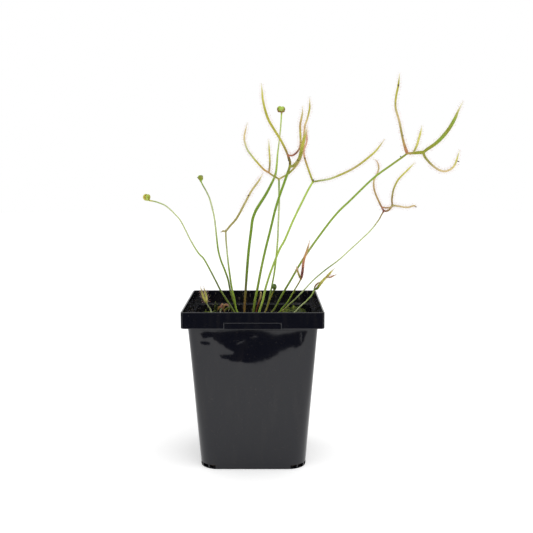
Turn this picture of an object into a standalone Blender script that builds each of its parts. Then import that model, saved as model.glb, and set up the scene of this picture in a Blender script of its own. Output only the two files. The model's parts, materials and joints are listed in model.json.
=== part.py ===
"""Potted sundew: forked, gland haired leaves in a square tapered nursery pot.

Units are metres, +Z is up, the front of the pot faces -Y, and the origin is the
middle of the pot's underside, on the surface that it stands on.

Leaf routes are drawn in millimetres as (x, z) on the front view's plane, y = 0.
Each leaf then leans towards the viewer or away, and its points move along the
sight line from the view point, so that the front view keeps its outline.
"""

import random
from collections import namedtuple
from math import cos, hypot, pi, radians, sin

import bmesh
import bpy
from mathutils import Matrix, Vector

MM = 0.001

# Pot, a thin moulded shell with a deep rim band
POT_HEIGHT = 107 * MM
RIM_HALF = 45.6 * MM
RIM_BAND = 10.7 * MM
RIM_CORNER = 2.5 * MM
RIM_STEP = 3.85 * MM
LIP_ROUND = 0.4 * MM
BASE_HALF = 35 * MM
BASE_CORNER = 12 * MM
TOP_CORNER = 5 * MM
WALL = 1.0 * MM
BASE_THICK = 1.2 * MM
FOOT_ROUND = 0.4 * MM
INNER_ROUND = 0.8 * MM
CORNER_STEPS = 4
BODY_TOP = POT_HEIGHT - RIM_BAND
BODY_HALF = RIM_HALF - RIM_STEP

# Drain slots through the wall at the foot of each corner, and round drain holes in the base
SLOT_Z = (0.4 * MM, 2.8 * MM)
SLOT_REACH = (9.5 * MM, 14 * MM)
SLOT_ANGLES = ((8, 28), (33, 57), (62, 82))
SLOT_STEPS = 2
DRAIN_RADIUS = 3 * MM
DRAIN_PLACE = 18 * MM
DRAIN_SIDES = 12
DRAIN_DEPTH = 6 * MM

# Bare label recess in the front of the rim, and bare raised panel on the left face
LABEL_HALF = 18.4 * MM
LABEL_HEIGHT = 4 * MM
LABEL_DEPTH = 0.35 * MM
LABEL_SLOPE = 1.2
PANEL_HALF = 10 * MM
PANEL_Z = (25 * MM, 40 * MM)
PANEL_PROUD = 0.6 * MM
PANEL_ROOT = 0.5 * MM
CUTTER_PROUD = 2 * MM

# Soil, level near the wall and a little raised at the crown of the plant
GAP = 0.3 * MM
SOIL_LEVEL = 89.5 * MM
SOIL_CROWN = 1.8 * MM
SOIL_WAVE = 0.5 * MM
SOIL_WAVE_X = 7 * MM
SOIL_WAVE_Y = 6 * MM
SOIL_WAVE_STARTS = (0.8, -0.4)
SOIL_EDGE = 1 * MM
SOIL_FOOT_CORNER = BASE_CORNER - 2 * MM
SOIL_CORNER_SHARE = 0.3
SOIL_RINGS = 6
SOIL_RING_SHARE = 0.87
ROOT_DEPTH = 6 * MM
HOLE_CLEARANCE = 0.35 * MM
HOLE_DEPTH = 14 * MM
HOLE_SIDES = 8

# Front view that the leaf routes are drawn in
VIEW_POINT = Vector((8.8, -543.6, 198.8)) * MM

# Leaf sections and the spacing of the points along them
STRAND_SIDES = 6
STEM_STEP = 7 * MM
ARM_STEP = 3.5 * MM
ARM_FLATNESS = 0.62
DEAD_FLATNESS = 0.7
LEAST_THICKNESS = 0.6 * MM
LEAN_POWER = 1.3
STEM_CLEAR = 0.8 * MM
TIP_POWER = 0.8

# Rolled tips: sections, pitch and the strip's shape. A roll's face is how far its axis turns
# from the viewer, in degrees, and its start is where the strip sets off round it.
ROLL_STEPS = 16
ROLL_PITCH = 1.2 * MM
ROLL_THICKNESS = 0.9 * MM
ROLL_WIDTHS = (0.7, 1.0, 1.0, 0.95, 0.8)
NECK_STEP = 1 * MM
NECK_LEAST = 0.4 * MM
NECK_GROWTH = 1.4

# Gland hairs, larger than life and far fewer, standing out of the arms
HAIR_STEP = 3.4 * MM
HAIR_LENGTH = 2.3 * MM
HAIR_ROOT = 0.3 * MM
HAIR_TIP = 0.1 * MM
HAIR_SIDES = 3
HAIR_ANGLES = (10, 170, 265, 350, 190, 75)
HAIR_SEED = 11
HAIR_SWAY = 12
HAIR_FORWARD = 0.25
HAIR_OFFSET = 0.12
HAIR_SHIFT = 1 * MM

Leaf = namedtuple("Leaf", "root stem lean girth arms rolls", defaults=((), ()))
Arm = namedtuple("Arm", "route depth width tip", defaults=(7,))
Roll = namedtuple("Roll", "centre radius wide face start turns")

# Depths and widths are in millimetres too. Widths are spread evenly along a strand, and a
# free arm narrows over the last few millimetres, its tip, to a point.
LEAVES = {
    "leaf_coiled_far_left": Leaf(
        root=(-9.5, 3.5),
        stem=[(-14, 100), (-16.1, 103.5), (-19.3, 108.5), (-22.8, 114.2), (-26.2, 121.1), (-33.4, 134.9),
              (-36.5, 138.4), (-39, 141.8), (-42.9, 148.6), (-46.1, 155.2), (-49.6, 162), (-53, 166),
              (-56.5, 169.5), (-59.8, 172.1), (-63.2, 173.6), (-66.5, 174.7), (-69.9, 175.3)],
        lean=24, girth=(1.3, 1.3, 1.2, 1.1, 1.0, 0.9),
        rolls=[Roll((-72.4, 177.8), 2.85, 1.8, 24, -45, -1.5),
               Roll((-71, 177.6), 2.8, 1.7, 62, -60, -1.4)],
    ),
    "leaf_coiled_left": Leaf(
        root=(-10, -1.5),
        stem=[(-11.7, 100), (-14, 107.3), (-16.1, 114.2), (-17.4, 121.1), (-19.7, 128), (-22.4, 134.9),
              (-24.1, 141.8), (-24.9, 148.6), (-26.3, 162.2), (-27.6, 169), (-29.3, 175.7),
              (-30.6, 179.1), (-32.3, 182.5), (-34.2, 185.8), (-35.3, 188.2)],
        lean=-26, girth=(1.3, 1.3, 1.3, 1.2, 1.1, 0.9),
        rolls=[Roll((-36, 190.6), 2.3, 1.5, 30, -80, 1.1),
               Roll((-35.2, 190.8), 2.2, 1.5, 70, -100, 1.1)],
    ),
    "leaf_curved_left": Leaf(
        root=(-7, -7),
        stem=[(-11.8, 100), (-13.1, 107.3), (-14.7, 114.2), (-15.8, 121.1), (-17.5, 134.9), (-18.7, 148.6),
              (-18.8, 154.6)],
        lean=-12, girth=(1.4, 1.3, 1.2, 1.1),
        arms=[
            Arm([(-18.8, 154.6), (-20.5, 154.7), (-22.1, 154.1)], (-12, -14), (1.3, 1.2, 1), 1),
            Arm([(-18.8, 154.6), (-15.8, 158.3), (-12.3, 162.2), (-9.1, 167.3), (-5.5, 174.2),
                 (-1, 182.3), (4, 189.2), (6.6, 194.3)], (-12, -25), (1.3, 1.4, 1.4, 1.3, 1.1)),
        ],
    ),
    "leaf_coiled_tall": Leaf(
        root=(-6.5, 8),
        stem=[(-6.4, 100), (-6, 107.3), (-5.5, 114.2), (-4.5, 128), (-3.3, 141.8), (-1.6, 155.4),
              (-0.8, 161.9), (0.3, 165.6), (1.8, 169), (3.9, 172.5), (8.1, 179.1), (11.7, 185.8),
              (14.7, 192.5), (15.7, 199.2), (16.2, 205.9), (17, 212.5), (18.1, 222.4), (18.9, 234.3)],
        lean=12, girth=(1.5, 1.6, 1.9, 1.9, 2.0, 1.6, 1.0, 1.1),
        rolls=[Roll((17.8, 236.3), 2.35, 1.8, -28, -125, -1.1),
               Roll((19.5, 236.2), 2.25, 1.7, 44, -55, 1.0)],
    ),
    "leaf_forked_tall": Leaf(
        root=(-1.9, -6),
        stem=[(-0.1, 100), (0.9, 107.3), (2.4, 114.2), (5, 128), (8, 141.8), (11.4, 155.4), (14.7, 169),
              (17.8, 179.1), (20.2, 185.8), (22.5, 192.5), (24.4, 197.9), (24.6, 201.2), (23.7, 203.9),
              (22.9, 206)],
        lean=-16, girth=(1.7, 1.7, 1.6, 1.6, 1.6, 1.8),
        arms=[
            Arm([(22.9, 206), (21.7, 209.2), (18.3, 215.8), (14.1, 222.4), (10.2, 229), (7.9, 235.6),
                 (6.4, 242.1), (5.9, 247.3), (5.3, 253.2)], (-16, -25), (1.5, 1.5, 1.6, 1.6, 1.3, 1.1)),
            Arm([(22.9, 206), (24.7, 205.5), (26.6, 205.7), (28.8, 207.3), (30.6, 209.7), (31.5, 212.5),
                 (31.6, 217.1), (31.3, 222.4), (31.4, 226.4), (32.7, 233.3), (32.9, 238.2)],
                (-16, -7), (1.2, 1.3, 1.4, 1.4, 1.1)),
            Arm([(24.5, 198.1), (26.7, 198.6), (28.5, 200.2), (30.1, 202.3), (31.3, 204.9), (32.7, 211.2),
                 (34.3, 218.4), (35.4, 224)], (-15.5, -23), (1.8, 2.2, 2.3, 2.2, 1.6)),
        ],
    ),
    "leaf_forked_middle": Leaf(
        root=(6.3, 1.8),
        stem=[(8.2, 100), (10.4, 107.3), (11.9, 114.2), (13.9, 124.6), (15.2, 134.9), (16.4, 148.6),
              (16.9, 162.2), (17.3, 172.4), (17.3, 181.1), (17.2, 189.7)],
        lean=4, girth=(1.0, 1.1, 1.3, 1.3, 1.3),
        arms=[
            Arm([(17.2, 189.7), (15.4, 190.9), (13.4, 192), (11.5, 193.2), (10.4, 194.1)], (4, 2.5),
                (1.3, 1.2, 1.3), 0),
            Arm([(10.4, 194.1), (11, 199.2), (11, 203.9), (10.7, 207.8), (10.3, 216.5)], (2.5, -3),
                (1.2, 1.3, 1.1, 1.0)),
            Arm([(10.4, 194.1), (6.8, 196.4), (1.2, 202.5), (-2.1, 206.6), (-4.3, 210), (-6.1, 216.5),
                 (-5.2, 222.4), (-4, 227.3)], (2.5, 14), (1.3, 1.3, 1.2, 1.0)),
            Arm([(17.2, 189.7), (20.4, 191.6), (23, 193), (25, 194.8), (27.2, 196.9), (29.3, 199.5),
                 (31, 202.3), (32.3, 205.9), (33.5, 211.2), (34, 218.4), (34.4, 225), (35.8, 229),
                 (37.3, 235.2), (37.6, 238.8), (37.4, 244.1)], (4, 12), (1.3, 1.3, 1.4, 1.3, 1.2)),
        ],
    ),
    "leaf_forked_lime": Leaf(
        root=(2.2, 6),
        stem=[(4.1, 100), (6.3, 107.3), (7.8, 114.2), (9.8, 121.1), (12.1, 128), (17.5, 141.8),
              (21.2, 148.6), (27, 162.2), (33.5, 175.7), (36.9, 182.5), (40.1, 188)],
        lean=26, girth=(1.6, 1.5, 1.5, 1.4),
        arms=[
            Arm([(40.1, 188), (38.8, 191.3), (37.1, 195.9), (35.5, 200.5), (34.5, 203.7), (33.8, 207.2),
                 (34.1, 210.2), (35.5, 213.8), (35.8, 217.1), (35.6, 220.4), (36.1, 224.7)],
                (26, 34), (1.4, 1.4, 1.3, 1.2)),
            Arm([(40.1, 188), (44.8, 188.7), (51.6, 190), (58.3, 192.6), (65, 195.7), (71.6, 199.8),
                 (78.3, 205.1), (82.9, 209.5), (88.1, 216.6)], (26, 15), (1.3, 1.4, 1.5, 1.4, 1.1)),
        ],
    ),
    "leaf_forked_high_right": Leaf(
        root=(6.4, -5.2),
        stem=[(13.4, 100), (15.8, 103.8), (19.4, 110.8), (25.4, 121.1), (31.3, 131.5), (37.9, 141.8),
              (45.1, 152), (52.7, 162.2), (58.6, 169), (65.2, 175.3), (78.5, 188.4), (85.2, 193.9),
              (91.8, 198.6), (98.4, 203.3), (103.4, 206.9)],
        lean=-34, girth=(1.2, 1.4, 1.4, 1.4, 1.3, 1.3),
        arms=[
            Arm([(103.4, 206.9), (102.3, 209.2), (100.2, 215.8), (98.7, 222.4), (97.2, 229), (95.1, 235.6),
                 (94.6, 240.1), (95.1, 245.4), (96.2, 251.2), (97.1, 259.7)], (-34, -44),
                (2.2, 1.4, 1.4, 1.3, 1.3, 1.2)),
            Arm([(103.4, 206.9), (105.7, 207), (108.4, 207.2), (111.4, 207.5), (114, 207.6)],
                (-34, -35), (1.6, 1.9, 2.4), 0),
            Arm([(107.2, 207.3), (108.2, 209.2), (109.6, 212.5), (110.5, 215.8), (111.4, 219.1),
                 (112.8, 225.4)], (-34.4, -22), (1.3, 1.5, 1.4, 1.1)),
            Arm([(114, 207.6), (116.1, 209.4), (118.4, 210.9), (121.7, 213.2), (124.9, 216.1),
                 (128.2, 219.8), (131.4, 224.2), (134.6, 230.2), (136.4, 234.6), (139.7, 241.4)],
                (-35, -39), (1.9, 2.2, 2.4, 2.3, 2.0, 1.5), 12),
            Arm([(114, 207.6), (114.9, 204.9), (116.6, 202.7), (118.8, 200.3), (122.1, 197.5),
                 (125.5, 195.6), (128.9, 195), (132.2, 196.1), (134.5, 198.1), (136.1, 201.3),
                 (138.3, 209.2)], (-35, -26), (1.7, 1.4, 1.3, 1.2, 1.1)),
        ],
    ),
    "leaf_forked_low_right": Leaf(
        root=(8, 5.5),
        stem=[(19.9, 100), (24.5, 104.3), (27.9, 107.3), (34.5, 114.2), (40.9, 121.1), (48.9, 128),
              (58, 134.9), (65.5, 141.8), (72.8, 148.6), (79.7, 155.4), (84.8, 162.2), (86.6, 165.6),
              (88.2, 168.4)],
        lean=32, girth=(1.1, 1.0, 1.0, 1.0, 1.1),
        arms=[
            Arm([(88.2, 168.4), (85.9, 172.4), (82.7, 179.1), (81.4, 183.1), (81, 186.5), (81.4, 189.5),
                 (83, 192.8), (84.2, 196.5), (83.9, 199.5), (82.7, 201.9), (80.3, 203.5)],
                (32, 26), (1.4, 1.2, 1.2, 1.1)),
            Arm([(86.7, 171.1), (89.3, 170.5), (91.7, 170.6), (95.6, 171.4)], (31.5, 21),
                (1.0, 1.0, 0.9), 4),
            Arm([(88.2, 168.4), (90.1, 168.3), (92, 169.5), (93.9, 172.4)], (32, 33), (1.4, 1.5), 0),
            Arm([(93.9, 172.4), (93.5, 175.7), (93.8, 179.1), (94.4, 182.5), (95.6, 185.8), (97.4, 189.2),
                 (100.3, 192.5), (103.5, 195.7), (108.9, 201.2)], (33, 42), (1.3, 1.3, 1.3, 1.1)),
            Arm([(93.9, 172.4), (96.4, 171.8), (99.1, 171.4), (102.1, 170.9), (105.2, 170.9),
                 (107.9, 171.8), (109.2, 171.7), (110.3, 170.7)], (33, 27), (1.3, 1.2, 1.2), 2),
        ],
    ),
    "leaf_small_pink": Leaf(
        root=(13, -9),
        stem=[(18.6, 100), (22.3, 104.4), (25.1, 108.9), (28, 114.2), (30.1, 117.7), (32.4, 121.8)],
        lean=-20, girth=(1.1, 1.0, 1.0),
        arms=[
            Arm([(32.4, 121.8), (31.1, 124.3), (30.3, 126.7), (29.6, 128.9), (29.1, 130.9)], (-20, -23),
                (1.5, 1.2, 1.3), 3),
            Arm([(32.4, 121.8), (33, 124.6), (33.5, 128), (33.8, 131.8), (34.5, 135.6), (35.4, 138.6),
                 (36.5, 141.8), (38.4, 149)], (-20, -27), (1.8, 1.7, 1.4, 1.2)),
        ],
    ),
    "leaf_small_right": Leaf(
        root=(22, 10),
        stem=[(29.4, 100), (31.5, 102.4), (34.1, 104.6), (36.7, 107.1), (39.2, 109.8), (40.7, 112.4),
              (41.5, 114.6)],
        lean=16, girth=(1.1, 1.0, 1.0),
        arms=[
            Arm([(41.5, 114.6), (42.1, 116.8), (43.6, 118.6), (46.2, 120.1)], (16, 20), (1.2, 1.1), 3),
            Arm([(41.5, 114.6), (43.3, 115.3), (44.9, 117.5), (46.8, 120), (48.8, 122.3), (50.8, 124.3),
                 (52.9, 126.7), (55.5, 129.4)], (16, 10), (1.6, 2.0, 1.8, 1.6, 1.1), 5),
            Arm([(50, 123.2), (52.6, 123.1), (54.6, 124.1), (56.8, 124.9)], (12.3, 6), (1.0, 1.0), 4),
        ],
    ),
    "leaf_small_left": Leaf(
        root=(-25.5, -13),
        stem=[(-29.5, 100), (-30.8, 102.2), (-32.4, 105.1)],
        lean=-18, girth=(1.0, 1.0),
        arms=[
            Arm([(-32.4, 105.1), (-33.9, 107.8), (-34.8, 110.4), (-35.5, 113.1), (-36.5, 116.8)],
                (-18, -21), (1.2, 1.4, 1.3, 1.0), 5),
            Arm([(-32.4, 105.1), (-32.2, 107.6), (-32.6, 110.1), (-33.4, 113.2), (-34.3, 117)],
                (-18, -14), (1.2, 1.3, 1.2, 1.0), 5),
        ],
    ),
    "leaf_bud_middle": Leaf(
        root=(4.4, -2.2),
        stem=[(8.4, 100), (10.7, 106.9), (12.3, 110.8), (13.4, 113.2), (13.8, 114.3)],
        lean=-7, girth=(1.5, 1.3, 1.1),
        rolls=[Roll((13.9, 116.4), 2.7, 1.8, 55, -95, 1.5)],
    ),
    "leaf_stub_dead": Leaf(
        root=(-0.2, -2.2),
        stem=[(2, 100), (2.9, 103.5), (4.1, 107.3), (4.7, 109.4), (4.9, 110.8), (4.9, 112.7)],
        lean=-4, girth=(1.6, 1.6, 1.5, 2.1, 1.2),
    ),
    "leaf_withered": Leaf(
        root=(-20, 27),
        stem=[(-19.6, 97.5), (-20.2, 99.4), (-20.8, 100.8)],
        lean=27, girth=(1.2, 1.4, 1.4),
        arms=[
            Arm([(-20.4, 100), (-21.8, 102.2), (-23.4, 102.4), (-24.6, 100.8), (-24.9, 98.6)], (27, 31),
                (1.2, 1.8, 1.5, 1.2), 2),
            Arm([(-20.8, 100.8), (-20.4, 102.9), (-19, 104.1), (-17.5, 103.4), (-16.8, 101.4), (-17.4, 99.4)],
                (27, 24.5), (1.2, 1.7, 1.6, 1.4), 2),
            Arm([(-20.2, 99.4), (-18.6, 101.2), (-16.6, 101.9), (-15.2, 100.2), (-15.2, 98)], (27, 29.5),
                (1.2, 1.5, 1.5, 1.2), 2),
            Arm([(-20.8, 100.8), (-22.2, 103.2), (-21.4, 104.3), (-20.1, 103.4)], (27, 31.5),
                (1.2, 1.5, 1.5, 1.2), 2),
            Arm([(-20.6, 99.9), (-21.6, 101), (-22.8, 100.4), (-23, 98)], (27, 22.5),
                (1.2, 1.6, 1.4, 1.2), 2),
        ],
    ),
}

HAIRLESS = ("leaf_stub_dead", "leaf_withered")

# Moss, as the place of its middle, its half sizes and its height over the soil
MOSS_CUSHION = ((28.6, 29), (8.6, 8), 6)
MOSS_TUFT = ((-32.4, 28.5), (5.6, 7), 2.2)
MOSS_SPRIGS = (((-29.4, 29.5), 11, 1.8), ((-27.9, 30), 10, 1.6), ((-35.5, 26), 6, 2))
MOSS_RINGS = 4
MOSS_SIDES = 14
MOSS_LUMP = 0.14
MOSS_CLEAR = 0.5
SPRIG_CLEAR = 0.8
SPRIG_SIDES = 6
SPRIG_FORM = ((0, 0.7), (0.35, 1), (0.75, 0.8), (1, 0.3))


def clear_scene():
    for obj in list(bpy.data.objects):
        bpy.data.objects.remove(obj, do_unlink=True)


def material(name, colour, roughness):
    mat = bpy.data.materials.new(name)
    mat.use_nodes = True
    shader = mat.node_tree.nodes["Principled BSDF"]
    shader.inputs["Base Color"].default_value = (*colour, 1)
    shader.inputs["Roughness"].default_value = roughness
    shader.inputs["Metallic"].default_value = 0
    return mat


def finish(name, bm, mat=None):
    """Turn a bmesh into an object of its own, with its faces pointing out."""
    bmesh.ops.recalc_face_normals(bm, faces=bm.faces)
    mesh = bpy.data.meshes.new(name)
    bm.to_mesh(mesh)
    bm.free()
    if mat:
        mesh.materials.append(mat)
    obj = bpy.data.objects.new(name, mesh)
    bpy.context.scene.collection.objects.link(obj)
    return obj


def skin(bm, loops):
    """Extrude one closed face through a list of loops of points, capped at both ends."""
    made = bmesh.ops.create_circle(bm, cap_ends=True, radius=1, segments=len(loops[0]))
    face = made["verts"][0].link_faces[0]
    first = list(face.verts)
    for number, loop in enumerate(loops):
        if number:
            face = bmesh.ops.extrude_discrete_faces(bm, faces=[face])["faces"][0]
        for vert, point in zip(face.verts, loop):
            vert.co = point
    bm.faces.new(reversed(first))


def evaluated(obj):
    """The mesh of an object with its modifiers, as a new mesh."""
    graph = bpy.context.evaluated_depsgraph_get()
    return bpy.data.meshes.new_from_object(obj.evaluated_get(graph))


def boolean(obj, operation, others):
    """Join others to obj or cut them from it, by one Boolean on a collection."""
    tools = bpy.data.collections.new("tools")
    bpy.context.scene.collection.children.link(tools)
    for other in others:
        bpy.context.scene.collection.objects.unlink(other)
        tools.objects.link(other)
    step = obj.modifiers.new(operation, "BOOLEAN")
    step.operation = operation
    step.operand_type = "COLLECTION"
    step.collection = tools
    step.solver = "EXACT"
    mesh = evaluated(obj)
    obj.modifiers.remove(step)
    obj.data = mesh
    for other in others:
        bpy.data.objects.remove(other, do_unlink=True)
    bpy.data.collections.remove(tools)


def share(z, low, high):
    return (z - low) / (high - low)


def blend(a, b, t):
    return a + (b - a) * t


def rounded_square(half, radius, height):
    """Points of a square with arcs at its corners; height is a number or a function."""
    points = []
    for quarter in range(4):
        for step in range(CORNER_STEPS + 1):
            angle = (quarter + step / CORNER_STEPS) * pi / 2
            corner = (quarter + 0.5) * pi / 2
            x = (half - radius) * (1 if cos(corner) > 0 else -1) + radius * cos(angle)
            y = (half - radius) * (1 if sin(corner) > 0 else -1) + radius * sin(angle)
            points.append(Vector((x, y, height(x, y) if callable(height) else height)))
    return points


def body_half(z):
    return blend(BASE_HALF, BODY_HALF, share(z, FOOT_ROUND, BODY_TOP))


def body_corner(z):
    return blend(BASE_CORNER, TOP_CORNER, share(z, FOOT_ROUND, BODY_TOP))


def inside(z, clearance=0.0):
    """A level of the inner wall, moved in by a clearance."""
    return rounded_square(body_half(z) - WALL - clearance, body_corner(z) - WALL - clearance, z)


def pot_loops():
    """The pot's levels, from the underside up the outer wall and down the inner one."""
    ledge = BODY_TOP + WALL
    floor = BASE_THICK + INNER_ROUND
    return [
        rounded_square(BASE_HALF - FOOT_ROUND, BASE_CORNER - FOOT_ROUND, 0),
        rounded_square(BASE_HALF, BASE_CORNER, FOOT_ROUND),
        rounded_square(BODY_HALF, TOP_CORNER, BODY_TOP),
        rounded_square(RIM_HALF, RIM_CORNER, BODY_TOP),
        rounded_square(RIM_HALF, RIM_CORNER, POT_HEIGHT - LIP_ROUND),
        rounded_square(RIM_HALF - LIP_ROUND, RIM_CORNER - LIP_ROUND, POT_HEIGHT),
        rounded_square(RIM_HALF - WALL, RIM_CORNER - WALL, POT_HEIGHT),
        rounded_square(RIM_HALF - WALL, RIM_CORNER - WALL, ledge),
        rounded_square(BODY_HALF - WALL, TOP_CORNER - WALL, ledge),
        rounded_square(BODY_HALF - WALL, TOP_CORNER - WALL, BODY_TOP),
        inside(floor),
        rounded_square(body_half(floor) - WALL - INNER_ROUND, BASE_CORNER - WALL - INNER_ROUND, BASE_THICK),
    ]


def drain_slots():
    """Arc shaped cutters through the foot of each corner, just above the underside."""
    cutters = []
    centre = BASE_HALF - BASE_CORNER
    for quarter in range(4):
        corner = quarter * pi / 2
        turn = Matrix.Rotation(corner, 4, "Z")
        for low, high in SLOT_ANGLES:
            outline = []
            for reach, angles in ((SLOT_REACH[0], (low, high)), (SLOT_REACH[1], (high, low))):
                for step in range(SLOT_STEPS + 1):
                    angle = radians(blend(angles[0], angles[1], step / SLOT_STEPS))
                    outline.append(Vector((centre + reach * cos(angle), centre + reach * sin(angle), 0)))
            bm = bmesh.new()
            levels = [[turn @ (p + Vector((0, 0, z))) for p in outline] for z in SLOT_Z]
            skin(bm, levels)
            cutters.append(finish("drain_slot", bm))
    return cutters


def drain_holes():
    cutters = []
    for x in (-DRAIN_PLACE, DRAIN_PLACE):
        for y in (-DRAIN_PLACE, DRAIN_PLACE):
            bm = bmesh.new()
            place = Matrix.Translation((x, y, 0))
            bmesh.ops.create_cone(bm, cap_ends=True, segments=DRAIN_SIDES, radius1=DRAIN_RADIUS,
                                  radius2=DRAIN_RADIUS, depth=DRAIN_DEPTH, matrix=place)
            cutters.append(finish("drain_hole", bm))
    return cutters


def label_cutter():
    """A flat pocket with sloping sides in the front of the rim, open at the rim's lower edge."""
    bm = bmesh.new()
    levels = []
    for proud in (-LABEL_DEPTH, CUTTER_PROUD):
        half = LABEL_HALF + LABEL_SLOPE * proud
        top = BODY_TOP + LABEL_HEIGHT + LABEL_SLOPE * proud
        bottom = BODY_TOP - CUTTER_PROUD
        corners = ((-half, bottom), (half, bottom), (half, top), (-half, top))
        levels.append([Vector((x, -RIM_HALF - proud, z)) for x, z in corners])
    skin(bm, levels)
    return finish("label_cutter", bm)


def side_panel():
    bm = bmesh.new()
    levels = []
    for proud in (-PANEL_ROOT, PANEL_PROUD):
        level = []
        for y, z in ((-1, 0), (1, 0), (1, 1), (-1, 1)):
            level.append(Vector((-body_half(PANEL_Z[z]) - proud, y * PANEL_HALF, PANEL_Z[z])))
        levels.append(level)
    skin(bm, levels)
    return finish("side_panel", bm)


def build_pot():
    bm = bmesh.new()
    skin(bm, pot_loops())
    pot = finish("pot", bm, material("pot_black", (0.018, 0.018, 0.022), 0.25))
    boolean(pot, "UNION", [side_panel()])
    boolean(pot, "DIFFERENCE", [*drain_slots(), *drain_holes(), label_cutter()])


def soil_height(x, y):
    """Height of the soil: a low crown in the middle and gentle waves."""
    far = min(1, hypot(x, y) / BASE_HALF)
    crown = SOIL_CROWN * (1 + cos(pi * far)) / 2
    start_x, start_y = SOIL_WAVE_STARTS
    wave = SOIL_WAVE * sin(x / SOIL_WAVE_X + start_x) * cos(y / SOIL_WAVE_Y + start_y)
    return SOIL_LEVEL + crown + wave * (1 - far ** 4)


def stem_holes():
    cutters = []
    for leaf in LEAVES.values():
        x, y = (value * MM for value in leaf.root)
        low = soil_height(x, y) - ROOT_DEPTH - GAP
        radius = leaf.girth[0] * MM / 2 + HOLE_CLEARANCE
        bm = bmesh.new()
        place = Matrix.Translation((x, y, low + HOLE_DEPTH / 2))
        bmesh.ops.create_cone(bm, cap_ends=True, segments=HOLE_SIDES, radius1=radius, radius2=radius,
                              depth=HOLE_DEPTH, matrix=place)
        cutters.append(finish("stem_hole", bm))
    return cutters


def build_soil():
    floor = BASE_THICK + INNER_ROUND
    half = body_half(SOIL_LEVEL) - WALL - GAP
    loops = [
        rounded_square(body_half(floor) - WALL - INNER_ROUND - GAP, SOIL_FOOT_CORNER, BASE_THICK + GAP),
        inside(floor + GAP, GAP),
        inside(SOIL_LEVEL - SOIL_EDGE, GAP),
    ]
    for ring in range(SOIL_RINGS):
        part = SOIL_RING_SHARE * (1 - ring / SOIL_RINGS) + (1 - SOIL_RING_SHARE) * (ring == 0)
        loops.append(rounded_square(half * part, half * part * SOIL_CORNER_SHARE, soil_height))
    bm = bmesh.new()
    skin(bm, loops)
    soil = finish("soil", bm, material("soil_peat", (0.08, 0.05, 0.03), 0.95))
    boolean(soil, "DIFFERENCE", stem_holes())


def moss_dome(centre, size, height):
    """A lumpy low dome that lies on the soil, with a clear gap under it."""
    cx, cy = centre
    loops = []
    for level in range(MOSS_RINGS):
        part = cos(level / MOSS_RINGS * pi / 2)
        rise = sin(level / MOSS_RINGS * pi / 2) * height
        loop = []
        for side in range(MOSS_SIDES):
            angle = side * 2 * pi / MOSS_SIDES
            lump = 1 + MOSS_LUMP * sin(3 * angle + cx) * cos(2 * angle + level)
            x = (cx + size[0] * part * lump * cos(angle)) * MM
            y = (cy + size[1] * part * lump * sin(angle)) * MM
            loop.append(Vector((x, y, soil_height(x, y) + (MOSS_CLEAR + rise) * MM)))
        loops.append(loop)
    bm = bmesh.new()
    skin(bm, loops)
    return bm


def moss_sprig(place, height, width):
    """An upright moss shoot, sunk into the dome that it grows from."""
    x, y = place
    loops = []
    bottom = soil_height(x * MM, y * MM) + SPRIG_CLEAR * MM
    for share_up, share_wide in SPRIG_FORM:
        loop = []
        for side in range(SPRIG_SIDES):
            angle = side * 2 * pi / SPRIG_SIDES
            reach = width * share_wide / 2 * MM
            loop.append(Vector((x * MM + reach * cos(angle), y * MM + reach * sin(angle),
                                bottom + height * share_up * MM)))
        loops.append(loop)
    bm = bmesh.new()
    skin(bm, loops)
    return finish("sprig", bm)


def build_moss():
    green = material("moss_green", (0.32, 0.36, 0.06), 0.9)
    finish("moss_cushion", moss_dome(*MOSS_CUSHION), green)
    tuft = finish("moss_tuft", moss_dome(*MOSS_TUFT), green)
    boolean(tuft, "UNION", [moss_sprig(*sprig) for sprig in MOSS_SPRIGS])


def smooth_route(points, step):
    """Points along a smooth curve through the given ones, about a step apart."""
    made = [points[0]]
    last = len(points) - 1
    for number in range(last):
        before = points[max(number - 1, 0)]
        start, end = points[number], points[number + 1]
        after = points[min(number + 2, last)]
        pieces = max(1, round((end - start).length / step))
        for piece in range(1, pieces + 1):
            t = piece / pieces
            pull_in = (end - before) / 2
            pull_out = (after - start) / 2
            made.append(
                start * (2 * t ** 3 - 3 * t ** 2 + 1) + pull_in * (t ** 3 - 2 * t ** 2 + t)
                + end * (3 * t ** 2 - 2 * t ** 3) + pull_out * (t ** 3 - t ** 2)
            )
    return made


def along(points):
    """How far along its length each point lies, from 0 to 1."""
    far = [0.0]
    for start, end in zip(points, points[1:]):
        far.append(far[-1] + (end - start).length)
    return [value / far[-1] for value in far]


def lean_back(point, depth):
    """Move a point of the front view's plane along its sight line to a depth."""
    return VIEW_POINT + (point - VIEW_POINT) * (1 - depth / VIEW_POINT.y)


def leaned(route, depths, power=1.0):
    flat = [Vector((x, 0, z)) * MM for x, z in route]
    return [
        lean_back(point, blend(depths[0], depths[1], part ** power) * MM)
        for point, part in zip(flat, along(flat))
    ]


def spread(values, part):
    """The value a part of the way along a strand, from values spread evenly over it."""
    place = part * (len(values) - 1)
    low = min(int(place), len(values) - 2)
    return blend(values[low], values[low + 1], place - low)


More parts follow.
